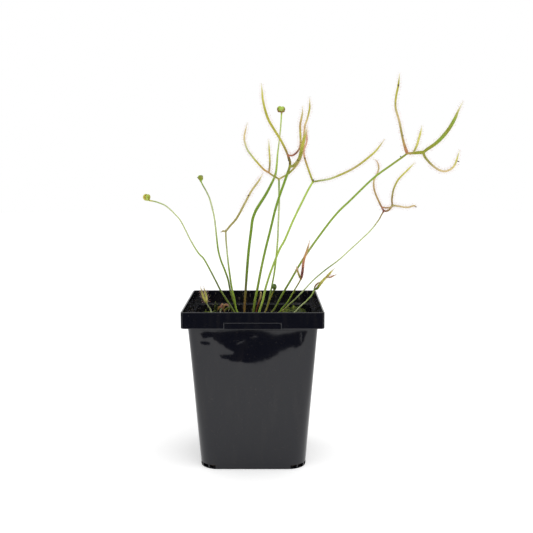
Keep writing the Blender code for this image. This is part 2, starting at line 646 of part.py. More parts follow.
def sections(points, widths, flatness=1.0, tip=0.0, axis=None, thickness=0.0):
    """Loops of a flattened round section, square to the route and broad side to the viewer."""
    total = sum((end - start).length for start, end in zip(points, points[1:]))
    loops = []
    for number, part in enumerate(along(points)):
        ahead = points[min(number + 1, len(points) - 1)]
        behind = points[max(number - 1, 0)]
        tangent = (ahead - behind).normalized()
        broad = axis or tangent.cross(Vector((0, 1, 0))).normalized()
        thin = tangent.cross(broad)
        width = spread(widths, part) * MM
        left = (1 - part) * total
        if left < tip:
            width = blend(LEAST_THICKNESS, width, (left / tip) ** TIP_POWER)
        thick = thickness or max(width * flatness, LEAST_THICKNESS)
        loop = []
        for side in range(STRAND_SIDES):
            angle = 2 * pi * side / STRAND_SIDES
            loop.append(points[number] + broad * cos(angle) * width / 2 + thin * sin(angle) * thick / 2)
        loops.append(loop)
    return loops


def strand(name, loops, mat=None):
    bm = bmesh.new()
    skin(bm, loops)
    return finish(name, bm, mat)


def stem_points(leaf):
    """The stem's centre line: straight up out of the soil, then along its route."""
    x, y = (value * MM for value in leaf.root)
    ground = soil_height(x, y)
    foot = [Vector((x, y, ground - ROOT_DEPTH)), Vector((x, y, ground + STEM_CLEAR))]
    shown = leaned(leaf.stem, (leaf.root[1], leaf.lean), LEAN_POWER)
    return smooth_route(foot + shown, STEM_STEP)


def roll_points(roll, lean):
    """A young leaf's tip, rolled up flat from its outside inwards, and the axis it is rolled round."""
    middle = lean_back(Vector((roll.centre[0], 0, roll.centre[1])) * MM, lean * MM)
    face = radians(roll.face)
    axis = Vector((sin(face), -cos(face), 0))
    side = Vector((cos(face), sin(face), 0))
    turned = []
    for step in range(ROLL_STEPS + 1):
        part = step / ROLL_STEPS
        angle = radians(roll.start + 360 * roll.turns * part)
        reach = roll.radius * MM - ROLL_THICKNESS / 2 - ROLL_PITCH * abs(roll.turns) * part
        turned.append(middle + side * reach * cos(angle) + Vector((0, 0, reach * sin(angle))))
    return turned, axis


def roll_parts(leaf, centre):
    """The rolled tips of a leaf, each with a short neck where it starts away from the stem."""
    parts = []
    for roll in leaf.rolls:
        points, axis = roll_points(roll, leaf.lean)
        widths = [roll.wide * part for part in ROLL_WIDTHS]
        parts.append(strand("roll", sections(points, widths, axis=axis, thickness=ROLL_THICKNESS)))
        if (points[0] - centre[-1]).length > NECK_LEAST:
            neck = smooth_route([centre[-2], centre[-1], points[0]], NECK_STEP)
            parts.append(strand("neck", sections(neck, (leaf.girth[-1], leaf.girth[-1] * NECK_GROWTH))))
    return parts


def hair(bm, root, direction):
    """One slim gland hair, from the middle of the arm out past its surface."""
    turn = direction.to_track_quat("Z", "Y").to_matrix().to_4x4()
    place = Matrix.Translation(root + direction * HAIR_LENGTH / 2) @ turn
    bmesh.ops.create_cone(bm, cap_ends=True, segments=HAIR_SIDES, radius1=HAIR_ROOT,
                          radius2=HAIR_TIP, depth=HAIR_LENGTH, matrix=place)


def arm_hairs(points, width, draw):
    """Hairs along one arm, turned round it from place to place."""
    bm = bmesh.new()
    route = smooth_route(points, HAIR_STEP)
    due = 0.0
    count = 0
    for start, end in zip(route, route[1:]):
        due += (end - start).length
        if due < HAIR_STEP:
            continue
        due = 0.0
        count += 1
        tangent = (end - start).normalized()
        broad = tangent.cross(Vector((0, 1, 0))).normalized()
        thin = tangent.cross(broad)
        angle = radians(HAIR_ANGLES[count % len(HAIR_ANGLES)] + draw.uniform(-HAIR_SWAY, HAIR_SWAY))
        direction = (broad * cos(angle) + thin * sin(angle) + tangent * HAIR_FORWARD).normalized()
        root = end - tangent * draw.uniform(0, HAIR_SHIFT)
        hair(bm, root + direction * width * MM * HAIR_OFFSET, direction)
    return finish("hairs", bm)


def build_leaf(name, leaf, mat, draw):
    """A leaf is one piece: its stem, forked arms, rolled tips and gland hairs joined."""
    centre = stem_points(leaf)
    flatness = DEAD_FLATNESS if name in HAIRLESS else 1.0
    stem = strand(name, sections(centre, leaf.girth, flatness), mat)
    parts = []
    for arm in leaf.arms:
        centre_line = leaned(arm.route, arm.depth)
        smooth = smooth_route(centre_line, ARM_STEP)
        parts.append(strand("arm", sections(smooth, arm.width, ARM_FLATNESS, arm.tip * MM)))
        if name not in HAIRLESS:
            parts.append(arm_hairs(centre_line, arm.width[0], draw))
    parts += roll_parts(leaf, centre)
    if parts:
        boolean(stem, "UNION", parts)


def build_leaves():
    draw = random.Random(HAIR_SEED)
    green = material("leaf_green", (0.28, 0.42, 0.05), 0.45)
    brown = material("leaf_dead", (0.35, 0.2, 0.1), 0.8)
    for name, leaf in LEAVES.items():
        build_leaf(name, leaf, brown if name in HAIRLESS else green, draw)


def main():
    clear_scene()
    build_pot()
    build_soil()
    build_moss()
    build_leaves()


main()
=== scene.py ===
"""Looks of the potted sundew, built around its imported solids.

Each leaf solid gives way to a finer leaf on the same routes, with its gland hairs
and dew. The pot, the soil and the moss get finer pieces of the same form too.
Units are metres, +Z is up and the pot's front faces -Y.
"""

import json
import random
from collections import namedtuple
from math import cos, hypot, pi, radians, sin

import bmesh
import bpy
import numpy as np
from bpy.props import FloatProperty, FloatVectorProperty, IntProperty, PointerProperty
from mathutils import Matrix, Vector, kdtree, noise

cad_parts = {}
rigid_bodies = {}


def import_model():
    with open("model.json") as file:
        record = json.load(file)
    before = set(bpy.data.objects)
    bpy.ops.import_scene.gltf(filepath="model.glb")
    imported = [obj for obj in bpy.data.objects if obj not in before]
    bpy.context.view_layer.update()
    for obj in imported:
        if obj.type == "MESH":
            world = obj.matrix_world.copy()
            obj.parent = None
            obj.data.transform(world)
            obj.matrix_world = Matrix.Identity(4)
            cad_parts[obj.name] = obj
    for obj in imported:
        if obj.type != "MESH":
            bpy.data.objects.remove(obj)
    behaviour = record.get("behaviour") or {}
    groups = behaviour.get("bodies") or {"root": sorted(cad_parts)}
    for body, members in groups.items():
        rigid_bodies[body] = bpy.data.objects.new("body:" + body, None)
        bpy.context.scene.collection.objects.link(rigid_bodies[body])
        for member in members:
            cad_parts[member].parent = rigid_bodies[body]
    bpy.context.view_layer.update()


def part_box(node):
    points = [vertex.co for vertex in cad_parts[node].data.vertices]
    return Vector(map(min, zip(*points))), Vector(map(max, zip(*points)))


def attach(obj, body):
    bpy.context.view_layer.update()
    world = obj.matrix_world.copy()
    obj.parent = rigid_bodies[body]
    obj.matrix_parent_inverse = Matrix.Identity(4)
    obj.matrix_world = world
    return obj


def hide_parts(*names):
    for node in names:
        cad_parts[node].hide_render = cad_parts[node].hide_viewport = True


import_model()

bl_info = {
    "name": "Potted sundew",
    "version": (1, 0, 0),
    "blender": (4, 5, 0),
    "location": "3D View > Sidebar > Sundew",
    "description": "Builds the looks of a forked sundew in its nursery pot",
    "category": "Add Mesh",
}

MM = 0.001
BODY = "root"
POT_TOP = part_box("pot")[1]

# Pot sizes that its box doesn't give
RIM_BAND = 10.7 * MM
RIM_CORNER = 2.5 * MM
RIM_STEP = 3.85 * MM
BASE_HALF = 35 * MM
BASE_CORNER = 12 * MM
TOP_CORNER = 5 * MM
LEAST_CORNER = 0.3 * MM
WALL = 1.0 * MM
INNER_DEPTH = 0.6 * WALL
BASE_THICK = 1.2 * MM
FOOT_ROUND = 0.4 * MM
INNER_ROUND = 0.8 * MM
FILLET = 1.2 * MM
EDGE_ROUND = 0.3 * MM
SUPPORT = 0.35 * MM
CORNER_STEPS = 10
SIDE_STEPS = 10
OUTER_LEVELS = 13
INNER_LEVELS = 10
POT_HEIGHT = POT_TOP.z
RIM_HALF = POT_TOP.x
BODY_TOP = POT_HEIGHT - RIM_BAND
BODY_HALF = RIM_HALF - RIM_STEP
SLOT_Z = (0.4 * MM, 2.8 * MM)
SLOT_REACH = (9.5 * MM, 14 * MM)
SLOT_ANGLES = ((8, 28), (33, 57), (62, 82))
SLOT_STEPS = 8
DRAIN_RADIUS = 3 * MM
DRAIN_PLACE = 18 * MM
DRAIN_CUT = 6 * MM
LABEL_HALF = 18.4 * MM
LABEL_HEIGHT = 4 * MM
LABEL_DEPTH = 0.35 * MM
LABEL_BELOW = 0.4 * MM
LABEL_CUT = 2 * MM
LABEL_SLOPE = 1.2
PANEL_HALF = 10 * MM
PANEL_Z = (25 * MM, 40 * MM)
PANEL_PROUD = 0.6 * MM
PANEL_SHOULDER = 0.6
PANEL_EDGE = 0.4 * MM
POT_CREASE = radians(32)

# How far the walls' waves run up and along them for each radian, and where the front's start
SIDE_WAVES = (23 * MM, 15 * MM)
FRONT_WAVES = (19 * MM, 13 * MM)
FRONT_PHASE = 1

# Soil form
GAP = 0.3 * MM
SOIL_LEVEL = 89.5 * MM
SOIL_CROWN = 1.8 * MM
SOIL_WAVE = 0.5 * MM
SOIL_WAVES = (7 * MM, 6 * MM)
SOIL_PHASES = (0.8, -0.4)
ROOT_DEPTH = 6 * MM
STEM_RISE = 0.8 * MM
SOIL_CELLS = 110
SOIL_RINGS = (SOIL_LEVEL - 2 * MM, 60 * MM, 30 * MM, BASE_THICK + INNER_ROUND + GAP, BASE_THICK + GAP)
LUMP_SIZE = 3.2 * MM
LUMP_HEIGHT = 0.45 * MM
LUMP_LAYERS = (0.9, 2.1, 4)

# Loose peat: sizes in millimetres, shapes for a size of 1, and how much of the soil it covers
CRUMB_SIZES = (0.5, 1.7)
CRUMB_FLATNESS = (0.5, 0.9)
CRUMB_UNEVEN = (0.6, 1.2)
CRUMB_REACH = 0.96
CRUMB_CORNER = 4 * MM
FIBRE_LENGTHS = (2, 6)
FIBRE_STEPS = 5
FIBRE_RADIUS = 0.03
FIBRE_BEND = 0.12
FIBRE_ARCH = 0.18
FIBRE_REACH = 0.88
FIBRE_LIFT = Vector((0, 0, 0.2 * MM))
LOOSE_TILT = 0.5

# Front view that the leaf routes are drawn in, as in the part's source
VIEW_POINT = Vector((8.8, -543.6, 198.8)) * MM
VIEW_TILT = radians(7.166)
VIEW_FOCUS = 802.6
FRAME_SIZE = 533
LEAN_POWER = 1.3


def colour(red, green, blue):
    """A colour as a screen shows it, from 0 to 255, turned into linear light."""
    parts = []
    for value in (red, green, blue):
        v = value / 255
        parts.append(v / 12.92 if v <= 0.04045 else ((v + 0.055) / 1.055) ** 2.4)
    return tuple(parts)


def tone(name, text, rgb):
    """A colour setting, its default given as a screen shows it."""
    return FloatVectorProperty(
        name=name, description=text, default=colour(*rgb), size=3, subtype="COLOR", min=0, max=1
    )


def length(name, text, value):
    """A length setting, in metres."""
    return FloatProperty(name=name, description=text, default=value, min=0, unit="LENGTH")


class SundewPotSettings(bpy.types.PropertyGroup):
    plastic: tone("Plastic", "Colour of the pot's plastic", (14, 15, 22))
    dust: tone("Dust", "Colour of the dust and dried splashes on it", (120, 112, 100))
    lip: length("Lip", "Radius of the rim's rounded lip", 0.45 * MM)
    sway: length("Sway", "How far the thin walls bow in and out", 0.12 * MM)


class SundewSoilSettings(bpy.types.PropertyGroup):
    dark: tone("Dark peat", "Colour of wet peat", (34, 24, 17))
    light: tone("Light peat", "Colour of dry peat and fibres", (104, 78, 52))
    crumbs: IntProperty(name="Crumbs", description="Crumbs of peat on the soil", default=900, min=0)
    fibres: IntProperty(name="Fibres", description="Fibres on the soil", default=150, min=0)


class SundewMossSettings(bpy.types.PropertyGroup):
    green: tone("Moss green", "Colour of the moss in shade", (46, 60, 18))
    light: tone("Moss light", "Colour of the moss tips", (204, 224, 92))
    shoots: IntProperty(name="Shoots", description="Leafy shoots on a cushion", default=120, min=0)
    leaflets: IntProperty(name="Leaflets", description="Leaflets on a shoot", default=14, min=0)


class SundewLeafSettings(bpy.types.PropertyGroup):
    deep: tone("Deep green", "Stems low down", (104, 122, 38))
    green: tone("Green", "Stems", (139, 166, 52))
    grass: tone("Grass", "Stems of the middle", (119, 152, 30))
    lime: tone("Lime", "Young stems and arms", (172, 198, 84))
    pale: tone("Pale green", "Thin stems", (186, 197, 140))
    olive: tone("Olive", "Forks and thick arms", (146, 152, 38))
    khaki: tone("Khaki", "Old arms", (160, 152, 80))
    gold: tone("Gold", "Arms", (182, 178, 62))
    straw: tone("Straw", "Yellow arms and tips", (206, 202, 100))
    sand: tone("Sand", "Dry tips", (210, 190, 138))
    wheat: tone("Wheat", "Faded arms", (190, 178, 112))
    tan: tone("Tan", "Arms in the sun", (182, 152, 90))
    amber: tone("Amber", "Orange arms", (198, 146, 84))
    brown: tone("Brown", "Stems by the soil and old forks", (140, 106, 56))
    pink: tone("Pink", "Young tips", (210, 156, 124))
    rose: tone("Rose", "Forks", (186, 120, 88))
    wine: tone("Wine", "Darkest forks", (130, 72, 60))
    rust: tone("Rust", "Dead stub", (112, 58, 22))
    shade: tone("Shade", "Buds", (70, 100, 42))
    sage: tone("Sage", "Stems near the pot", (120, 138, 66))
    tip: tone("Tip", "Thin ends of the arms", (242, 239, 228))
    midge: tone("Midge", "Specks caught in the hairs", (34, 28, 24))
    hair_pale: tone("Hair root", "Foot of a gland hair", (226, 216, 180))
    hair_upper: tone("Hair", "Upper part of a gland hair", (234, 200, 186))
    gland: tone("Gland", "Head of a gland hair", (208, 122, 116))
    flush: tone("Flush", "Upper part of a hair on a red arm", (196, 72, 74))
    spacing: length("Hair spacing", "Distance between rows of gland hairs", 0.6 * MM)
    reach: length("Hair length", "Length of a gland hair at an arm's edge", 1.7 * MM)


class SundewStageSettings(bpy.types.PropertyGroup):
    sky: FloatProperty(name="Sky", description="Strength of the white surround", default=1.0, min=0)
    lamp: FloatProperty(name="Lamp", description="Power of the soft lamp above", default=3.0, min=0)
    glow: FloatProperty(name="Glow", description="Light of the lit floor table", default=0.25, min=0)


SETTINGS = {
    "sundew_pot": SundewPotSettings,
    "sundew_soil": SundewSoilSettings,
    "sundew_moss": SundewMossSettings,
    "sundew_leaf": SundewLeafSettings,
    "sundew_stage": SundewStageSettings,
}


# Leaf routes, as (x, z) in millimetres on the front view's plane, and their looks. Depths
# and widths are in millimetres too, and widths and tones are spread evenly along a strand.
Leaf = namedtuple("Leaf", "root stem lean girth tones arms rolls", defaults=((), ()))
Arm = namedtuple("Arm", "route depth width tones tip", defaults=(7,))
Roll = namedtuple("Roll", "centre radius wide face start turns tones")

LEAVES = {
    "leaf_coiled_far_left": Leaf(
        root=(-9.5, 3.5),
        stem=[(-14, 100), (-16.1, 103.5), (-19.3, 108.5), (-22.8, 114.2), (-26.2, 121.1), (-33.4, 134.9),
              (-36.5, 138.4), (-39, 141.8), (-42.9, 148.6), (-46.1, 155.2), (-49.6, 162), (-53, 166),
              (-56.5, 169.5), (-59.8, 172.1), (-63.2, 173.6), (-66.5, 174.7), (-69.9, 175.3)],
        lean=24, girth=(1.3, 1.3, 1.2, 1.1, 1.0, 0.9),
        tones="deep deep deep sage green pale pale pale green",
        rolls=[Roll((-72.4, 177.8), 2.85, 1.8, 24, -45, -1.5, "gold straw gold tan rose"),
               Roll((-71, 177.6), 2.8, 1.7, 62, -60, -1.4, "straw lime gold olive")],
    ),
    "leaf_coiled_left": Leaf(
        root=(-10, -1.5),
        stem=[(-11.7, 100), (-14, 107.3), (-16.1, 114.2), (-17.4, 121.1), (-19.7, 128), (-22.4, 134.9),
              (-24.1, 141.8), (-24.9, 148.6), (-26.3, 162.2), (-27.6, 169), (-29.3, 175.7),
              (-30.6, 179.1), (-32.3, 182.5), (-34.2, 185.8), (-35.3, 188.2)],
        lean=-26, girth=(1.3, 1.3, 1.3, 1.2, 1.1, 0.9), tones="deep deep sage green green pale pale sage",
        rolls=[Roll((-36, 190.6), 2.3, 1.5, 30, -80, 1.1, "green olive green brown"),
               Roll((-35.2, 190.8), 2.2, 1.5, 70, -100, 1.1, "green deep olive")],
    ),
    "leaf_curved_left": Leaf(
        root=(-7, -7),
        stem=[(-11.8, 100), (-13.1, 107.3), (-14.7, 114.2), (-15.8, 121.1), (-17.5, 134.9), (-18.7, 148.6),
              (-18.8, 154.6)],
        lean=-12, girth=(1.4, 1.3, 1.2, 1.1), tones="green green green green pale khaki",
        arms=[
            Arm([(-18.8, 154.6), (-20.5, 154.7), (-22.1, 154.1)], (-12, -14), (1.3, 1.2, 1),
                "khaki khaki brown", 1),
            Arm([(-18.8, 154.6), (-15.8, 158.3), (-12.3, 162.2), (-9.1, 167.3), (-5.5, 174.2),
                 (-1, 182.3), (4, 189.2), (6.6, 194.3)], (-12, -25), (1.3, 1.4, 1.4, 1.3, 1.1),
                "khaki khaki khaki wheat wheat wheat sand"),
        ],
    ),
    "leaf_coiled_tall": Leaf(
        root=(-6.5, 8),
        stem=[(-6.4, 100), (-6, 107.3), (-5.5, 114.2), (-4.5, 128), (-3.3, 141.8), (-1.6, 155.4),
              (-0.8, 161.9), (0.3, 165.6), (1.8, 169), (3.9, 172.5), (8.1, 179.1), (11.7, 185.8),
              (14.7, 192.5), (15.7, 199.2), (16.2, 205.9), (17, 212.5), (18.1, 222.4), (18.9, 234.3)],
        lean=12, girth=(1.5, 1.6, 1.9, 1.9, 2.0, 1.6, 1.0, 1.1),
        tones="khaki brown deep grass grass grass grass lime pale lime",
        rolls=[Roll((17.8, 236.3), 2.35, 1.8, -28, -125, -1.1, "brown brown lime lime lime green"),
               Roll((19.5, 236.2), 2.25, 1.7, 44, -55, 1.0, "brown brown lime lime olive")],
    ),
    "leaf_forked_tall": Leaf(
        root=(-1.9, -6),
        stem=[(-0.1, 100), (0.9, 107.3), (2.4, 114.2), (5, 128), (8, 141.8), (11.4, 155.4), (14.7, 169),
              (17.8, 179.1), (20.2, 185.8), (22.5, 192.5), (24.4, 197.9), (24.6, 201.2), (23.7, 203.9),
              (22.9, 206)],
        lean=-16, girth=(1.7, 1.7, 1.6, 1.6, 1.6, 1.8),
        tones="brown deep green green grass grass grass grass brown",
        arms=[
            Arm([(22.9, 206), (21.7, 209.2), (18.3, 215.8), (14.1, 222.4), (10.2, 229), (7.9, 235.6),
                 (6.4, 242.1), (5.9, 247.3), (5.3, 253.2)], (-16, -25), (1.5, 1.5, 1.6, 1.6, 1.3, 1.1),
                "brown gold gold gold gold straw straw"),
            Arm([(22.9, 206), (24.7, 205.5), (26.6, 205.7), (28.8, 207.3), (30.6, 209.7), (31.5, 212.5),
                 (31.6, 217.1), (31.3, 222.4), (31.4, 226.4), (32.7, 233.3), (32.9, 238.2)],
                (-16, -7), (1.2, 1.3, 1.4, 1.4, 1.1), "rose wine tan gold tan wheat sand"),
            Arm([(24.5, 198.1), (26.7, 198.6), (28.5, 200.2), (30.1, 202.3), (31.3, 204.9), (32.7, 211.2),
                 (34.3, 218.4), (35.4, 224)], (-15.5, -23), (1.8, 2.2, 2.3, 2.2, 1.6),
                "olive khaki olive gold gold straw"),
        ],
    ),
    "leaf_forked_middle": Leaf(
        root=(6.3, 1.8),
        stem=[(8.2, 100), (10.4, 107.3), (11.9, 114.2), (13.9, 124.6), (15.2, 134.9), (16.4, 148.6),
              (16.9, 162.2), (17.3, 172.4), (17.3, 181.1), (17.2, 189.7)],
        lean=4, girth=(1.0, 1.1, 1.3, 1.3, 1.3), tones="deep shade green lime pale pale grass",
        arms=[
            Arm([(17.2, 189.7), (15.4, 190.9), (13.4, 192), (11.5, 193.2), (10.4, 194.1)], (4, 2.5),
                (1.3, 1.2, 1.3), "khaki olive tan", 0),
            Arm([(10.4, 194.1), (11, 199.2), (11, 203.9), (10.7, 207.8), (10.3, 216.5)], (2.5, -3),
                (1.2, 1.3, 1.1, 1.0), "tan khaki straw straw straw"),
            Arm([(10.4, 194.1), (6.8, 196.4), (1.2, 202.5), (-2.1, 206.6), (-4.3, 210), (-6.1, 216.5),
                 (-5.2, 222.4), (-4, 227.3)], (2.5, 14), (1.3, 1.3, 1.2, 1.0), "amber gold pale sand sand"),
            Arm([(17.2, 189.7), (20.4, 191.6), (23, 193), (25, 194.8), (27.2, 196.9), (29.3, 199.5),
                 (31, 202.3), (32.3, 205.9), (33.5, 211.2), (34, 218.4), (34.4, 225), (35.8, 229),
                 (37.3, 235.2), (37.6, 238.8), (37.4, 244.1)], (4, 12), (1.3, 1.3, 1.4, 1.3, 1.2),
                "wheat olive tan rose amber sand gold sand"),
        ],
    ),
    "leaf_forked_lime": Leaf(
        root=(2.2, 6),
        stem=[(4.1, 100), (6.3, 107.3), (7.8, 114.2), (9.8, 121.1), (12.1, 128), (17.5, 141.8),
              (21.2, 148.6), (27, 162.2), (33.5, 175.7), (36.9, 182.5), (40.1, 188)],
        lean=26, girth=(1.6, 1.5, 1.5, 1.4), tones="green lime lime lime lime lime lime",
        arms=[
            Arm([(40.1, 188), (38.8, 191.3), (37.1, 195.9), (35.5, 200.5), (34.5, 203.7), (33.8, 207.2),
                 (34.1, 210.2), (35.5, 213.8), (35.8, 217.1), (35.6, 220.4), (36.1, 224.7)],
                (26, 34), (1.4, 1.4, 1.3, 1.2), "olive gold tan pink pink gold"),
            Arm([(40.1, 188), (44.8, 188.7), (51.6, 190), (58.3, 192.6), (65, 195.7), (71.6, 199.8),
                 (78.3, 205.1), (82.9, 209.5), (88.1, 216.6)], (26, 15), (1.3, 1.4, 1.5, 1.4, 1.1),
                "olive pale gold wheat gold straw sand"),
        ],
    ),
    "leaf_forked_high_right": Leaf(
        root=(6.4, -5.2),
        stem=[(13.4, 100), (15.8, 103.8), (19.4, 110.8), (25.4, 121.1), (31.3, 131.5), (37.9, 141.8),
              (45.1, 152), (52.7, 162.2), (58.6, 169), (65.2, 175.3), (78.5, 188.4), (85.2, 193.9),
              (91.8, 198.6), (98.4, 203.3), (103.4, 206.9)],
        lean=-34, girth=(1.2, 1.4, 1.4, 1.4, 1.3, 1.3),
        tones="khaki deep green green green green green olive",
        arms=[
            Arm([(103.4, 206.9), (102.3, 209.2), (100.2, 215.8), (98.7, 222.4), (97.2, 229), (95.1, 235.6),
                 (94.6, 240.1), (95.1, 245.4), (96.2, 251.2), (97.1, 259.7)], (-34, -44),
                (2.2, 1.4, 1.4, 1.3, 1.3, 1.2), "rose tan khaki sand wheat gold gold straw"),
            Arm([(103.4, 206.9), (105.7, 207), (108.4, 207.2), (111.4, 207.5), (114, 207.6)],
                (-34, -35), (1.6, 1.9, 2.4), "tan olive olive", 0),
            Arm([(107.2, 207.3), (108.2, 209.2), (109.6, 212.5), (110.5, 215.8), (111.4, 219.1),
                 (112.8, 225.4)], (-34.4, -22), (1.3, 1.5, 1.4, 1.1), "olive straw straw straw"),
            Arm([(114, 207.6), (116.1, 209.4), (118.4, 210.9), (121.7, 213.2), (124.9, 216.1),
                 (128.2, 219.8), (131.4, 224.2), (134.6, 230.2), (136.4, 234.6), (139.7, 241.4)],
                (-35, -39), (1.9, 2.2, 2.4, 2.3, 2.0, 1.5), "olive olive green olive green gold straw", 12),
            Arm([(114, 207.6), (114.9, 204.9), (116.6, 202.7), (118.8, 200.3), (122.1, 197.5),
                 (125.5, 195.6), (128.9, 195), (132.2, 196.1), (134.5, 198.1), (136.1, 201.3),
                 (138.3, 209.2)], (-35, -26), (1.7, 1.4, 1.3, 1.2, 1.1), "olive khaki sand sand straw straw"),
        ],
    ),
    "leaf_forked_low_right": Leaf(
        root=(8, 5.5),
        stem=[(19.9, 100), (24.5, 104.3), (27.9, 107.3), (34.5, 114.2), (40.9, 121.1), (48.9, 128),
              (58, 134.9), (65.5, 141.8), (72.8, 148.6), (79.7, 155.4), (84.8, 162.2), (86.6, 165.6),
              (88.2, 168.4)],
        lean=32, girth=(1.1, 1.0, 1.0, 1.0, 1.1), tones="olive khaki sage pale sage pale pale pale brown",
        arms=[
            Arm([(88.2, 168.4), (85.9, 172.4), (82.7, 179.1), (81.4, 183.1), (81, 186.5), (81.4, 189.5),
                 (83, 192.8), (84.2, 196.5), (83.9, 199.5), (82.7, 201.9), (80.3, 203.5)],
                (32, 26), (1.4, 1.2, 1.2, 1.1), "wine tan tan sand sand pink"),
            Arm([(86.7, 171.1), (89.3, 170.5), (91.7, 170.6), (95.6, 171.4)], (31.5, 21),
                (1.0, 1.0, 0.9), "rose tan sand", 4),
            Arm([(88.2, 168.4), (90.1, 168.3), (92, 169.5), (93.9, 172.4)], (32, 33), (1.4, 1.5),
                "wine olive", 0),
            Arm([(93.9, 172.4), (93.5, 175.7), (93.8, 179.1), (94.4, 182.5), (95.6, 185.8), (97.4, 189.2),
                 (100.3, 192.5), (103.5, 195.7), (108.9, 201.2)], (33, 42), (1.3, 1.3, 1.3, 1.1),
                "brown khaki gold straw straw"),
            Arm([(93.9, 172.4), (96.4, 171.8), (99.1, 171.4), (102.1, 170.9), (105.2, 170.9),
                 (107.9, 171.8), (109.2, 171.7), (110.3, 170.7)], (33, 27), (1.3, 1.2, 1.2),
                "khaki sand sand sand tan", 2),
        ],
    ),
    "leaf_small_pink": Leaf(
        root=(13, -9),
        stem=[(18.6, 100), (22.3, 104.4), (25.1, 108.9), (28, 114.2), (30.1, 117.7), (32.4, 121.8)],
        lean=-20, girth=(1.1, 1.0, 1.0), tones="grass grass green khaki",
        arms=[
            Arm([(32.4, 121.8), (31.1, 124.3), (30.3, 126.7), (29.6, 128.9), (29.1, 130.9)], (-20, -23),
                (1.5, 1.2, 1.3), "brown olive tan pink", 3),
            Arm([(32.4, 121.8), (33, 124.6), (33.5, 128), (33.8, 131.8), (34.5, 135.6), (35.4, 138.6),
                 (36.5, 141.8), (38.4, 149)], (-20, -27), (1.8, 1.7, 1.4, 1.2),
                "wine wine rose amber tan pink"),
        ],
    ),
    "leaf_small_right": Leaf(
        root=(22, 10),
        stem=[(29.4, 100), (31.5, 102.4), (34.1, 104.6), (36.7, 107.1), (39.2, 109.8), (40.7, 112.4),
              (41.5, 114.6)],
        lean=16, girth=(1.1, 1.0, 1.0), tones="green pale green",
        arms=[
            Arm([(41.5, 114.6), (42.1, 116.8), (43.6, 118.6), (46.2, 120.1)], (16, 20), (1.2, 1.1),
                "shade brown khaki", 3),
            Arm([(41.5, 114.6), (43.3, 115.3), (44.9, 117.5), (46.8, 120), (48.8, 122.3), (50.8, 124.3),
                 (52.9, 126.7), (55.5, 129.4)], (16, 10), (1.6, 2.0, 1.8, 1.6, 1.1),
                "shade olive straw straw straw sand", 5),
            Arm([(50, 123.2), (52.6, 123.1), (54.6, 124.1), (56.8, 124.9)], (12.3, 6), (1.0, 1.0),
                "tan pink sand", 4),
        ],
    ),
    "leaf_small_left": Leaf(
        root=(-25.5, -13),
        stem=[(-29.5, 100), (-30.8, 102.2), (-32.4, 105.1)],
        lean=-18, girth=(1.0, 1.0), tones="pale pale pale",
        arms=[
            Arm([(-32.4, 105.1), (-33.9, 107.8), (-34.8, 110.4), (-35.5, 113.1), (-36.5, 116.8)],
                (-18, -21), (1.2, 1.4, 1.3, 1.0), "olive straw straw khaki sand", 5),
            Arm([(-32.4, 105.1), (-32.2, 107.6), (-32.6, 110.1), (-33.4, 113.2), (-34.3, 117)],
                (-18, -14), (1.2, 1.3, 1.2, 1.0), "olive straw olive khaki sand", 5),
        ],
    ),
    "leaf_bud_middle": Leaf(
        root=(4.4, -2.2),
        stem=[(8.4, 100), (10.7, 106.9), (12.3, 110.8), (13.4, 113.2), (13.8, 114.3)],
        lean=-7, girth=(1.5, 1.3, 1.1), tones="khaki khaki olive",
        rolls=[Roll((13.9, 116.4), 2.7, 1.8, 55, -95, 1.5, "shade shade deep")],
    ),
    "leaf_stub_dead": Leaf(
        root=(-0.2, -2.2),
        stem=[(2, 100), (2.9, 103.5), (4.1, 107.3), (4.7, 109.4), (4.9, 110.8), (4.9, 112.7)],
        lean=-4, girth=(1.6, 1.6, 1.5, 2.1, 1.2), tones="rust rust rust rust rust rust rust tan sand",
    ),
    "leaf_withered": Leaf(
        root=(-20, 27),
        stem=[(-19.6, 97.5), (-20.2, 99.4), (-20.8, 100.8)],
        lean=27, girth=(1.2, 1.4, 1.4), tones="brown rust tan",
        arms=[
            Arm([(-20.4, 100), (-21.8, 102.2), (-23.4, 102.4), (-24.6, 100.8), (-24.9, 98.6)], (27, 31),
                (1.2, 1.8, 1.5, 1.2), "wine rust tan rust", 2),
            Arm([(-20.8, 100.8), (-20.4, 102.9), (-19, 104.1), (-17.5, 103.4), (-16.8, 101.4),
                 (-17.4, 99.4)], (27, 24.5), (1.2, 1.7, 1.6, 1.4), "rust tan wine shade rust", 2),
            Arm([(-20.2, 99.4), (-18.6, 101.2), (-16.6, 101.9), (-15.2, 100.2), (-15.2, 98)], (27, 29.5),
                (1.2, 1.5, 1.5, 1.2), "shade olive shade rust", 2),
            Arm([(-20.8, 100.8), (-22.2, 103.2), (-21.4, 104.3), (-20.1, 103.4)], (27, 31.5),
                (1.2, 1.5, 1.5, 1.2), "rust wine tan", 2),
            Arm([(-20.6, 99.9), (-21.6, 101), (-22.8, 100.4), (-23, 98)], (27, 22.5),
                (1.2, 1.6, 1.4, 1.2), "wine shade rust", 2),
        ],
    ),
}

HAIRLESS = ("leaf_stub_dead", "leaf_withered")

# Rolled tips, in millimetres: sections, pitch and the strip's shape. A roll's face is how far
# its axis turns from the viewer, in degrees, and its start is where the strip sets off round it.
ROLL_STEPS = 40
ROLL_PITCH = 1.12
ROLL_THICKNESS = 1.02
ROLL_WIDTHS = (0.7, 1.0, 1.0, 0.95, 0.9, 0.8)
NECK_GROWTH = 1.4
NECK_LEAST = 0.4 * MM
NECK_STEP = 0.5 * MM
CORE_SHARE = 0.62

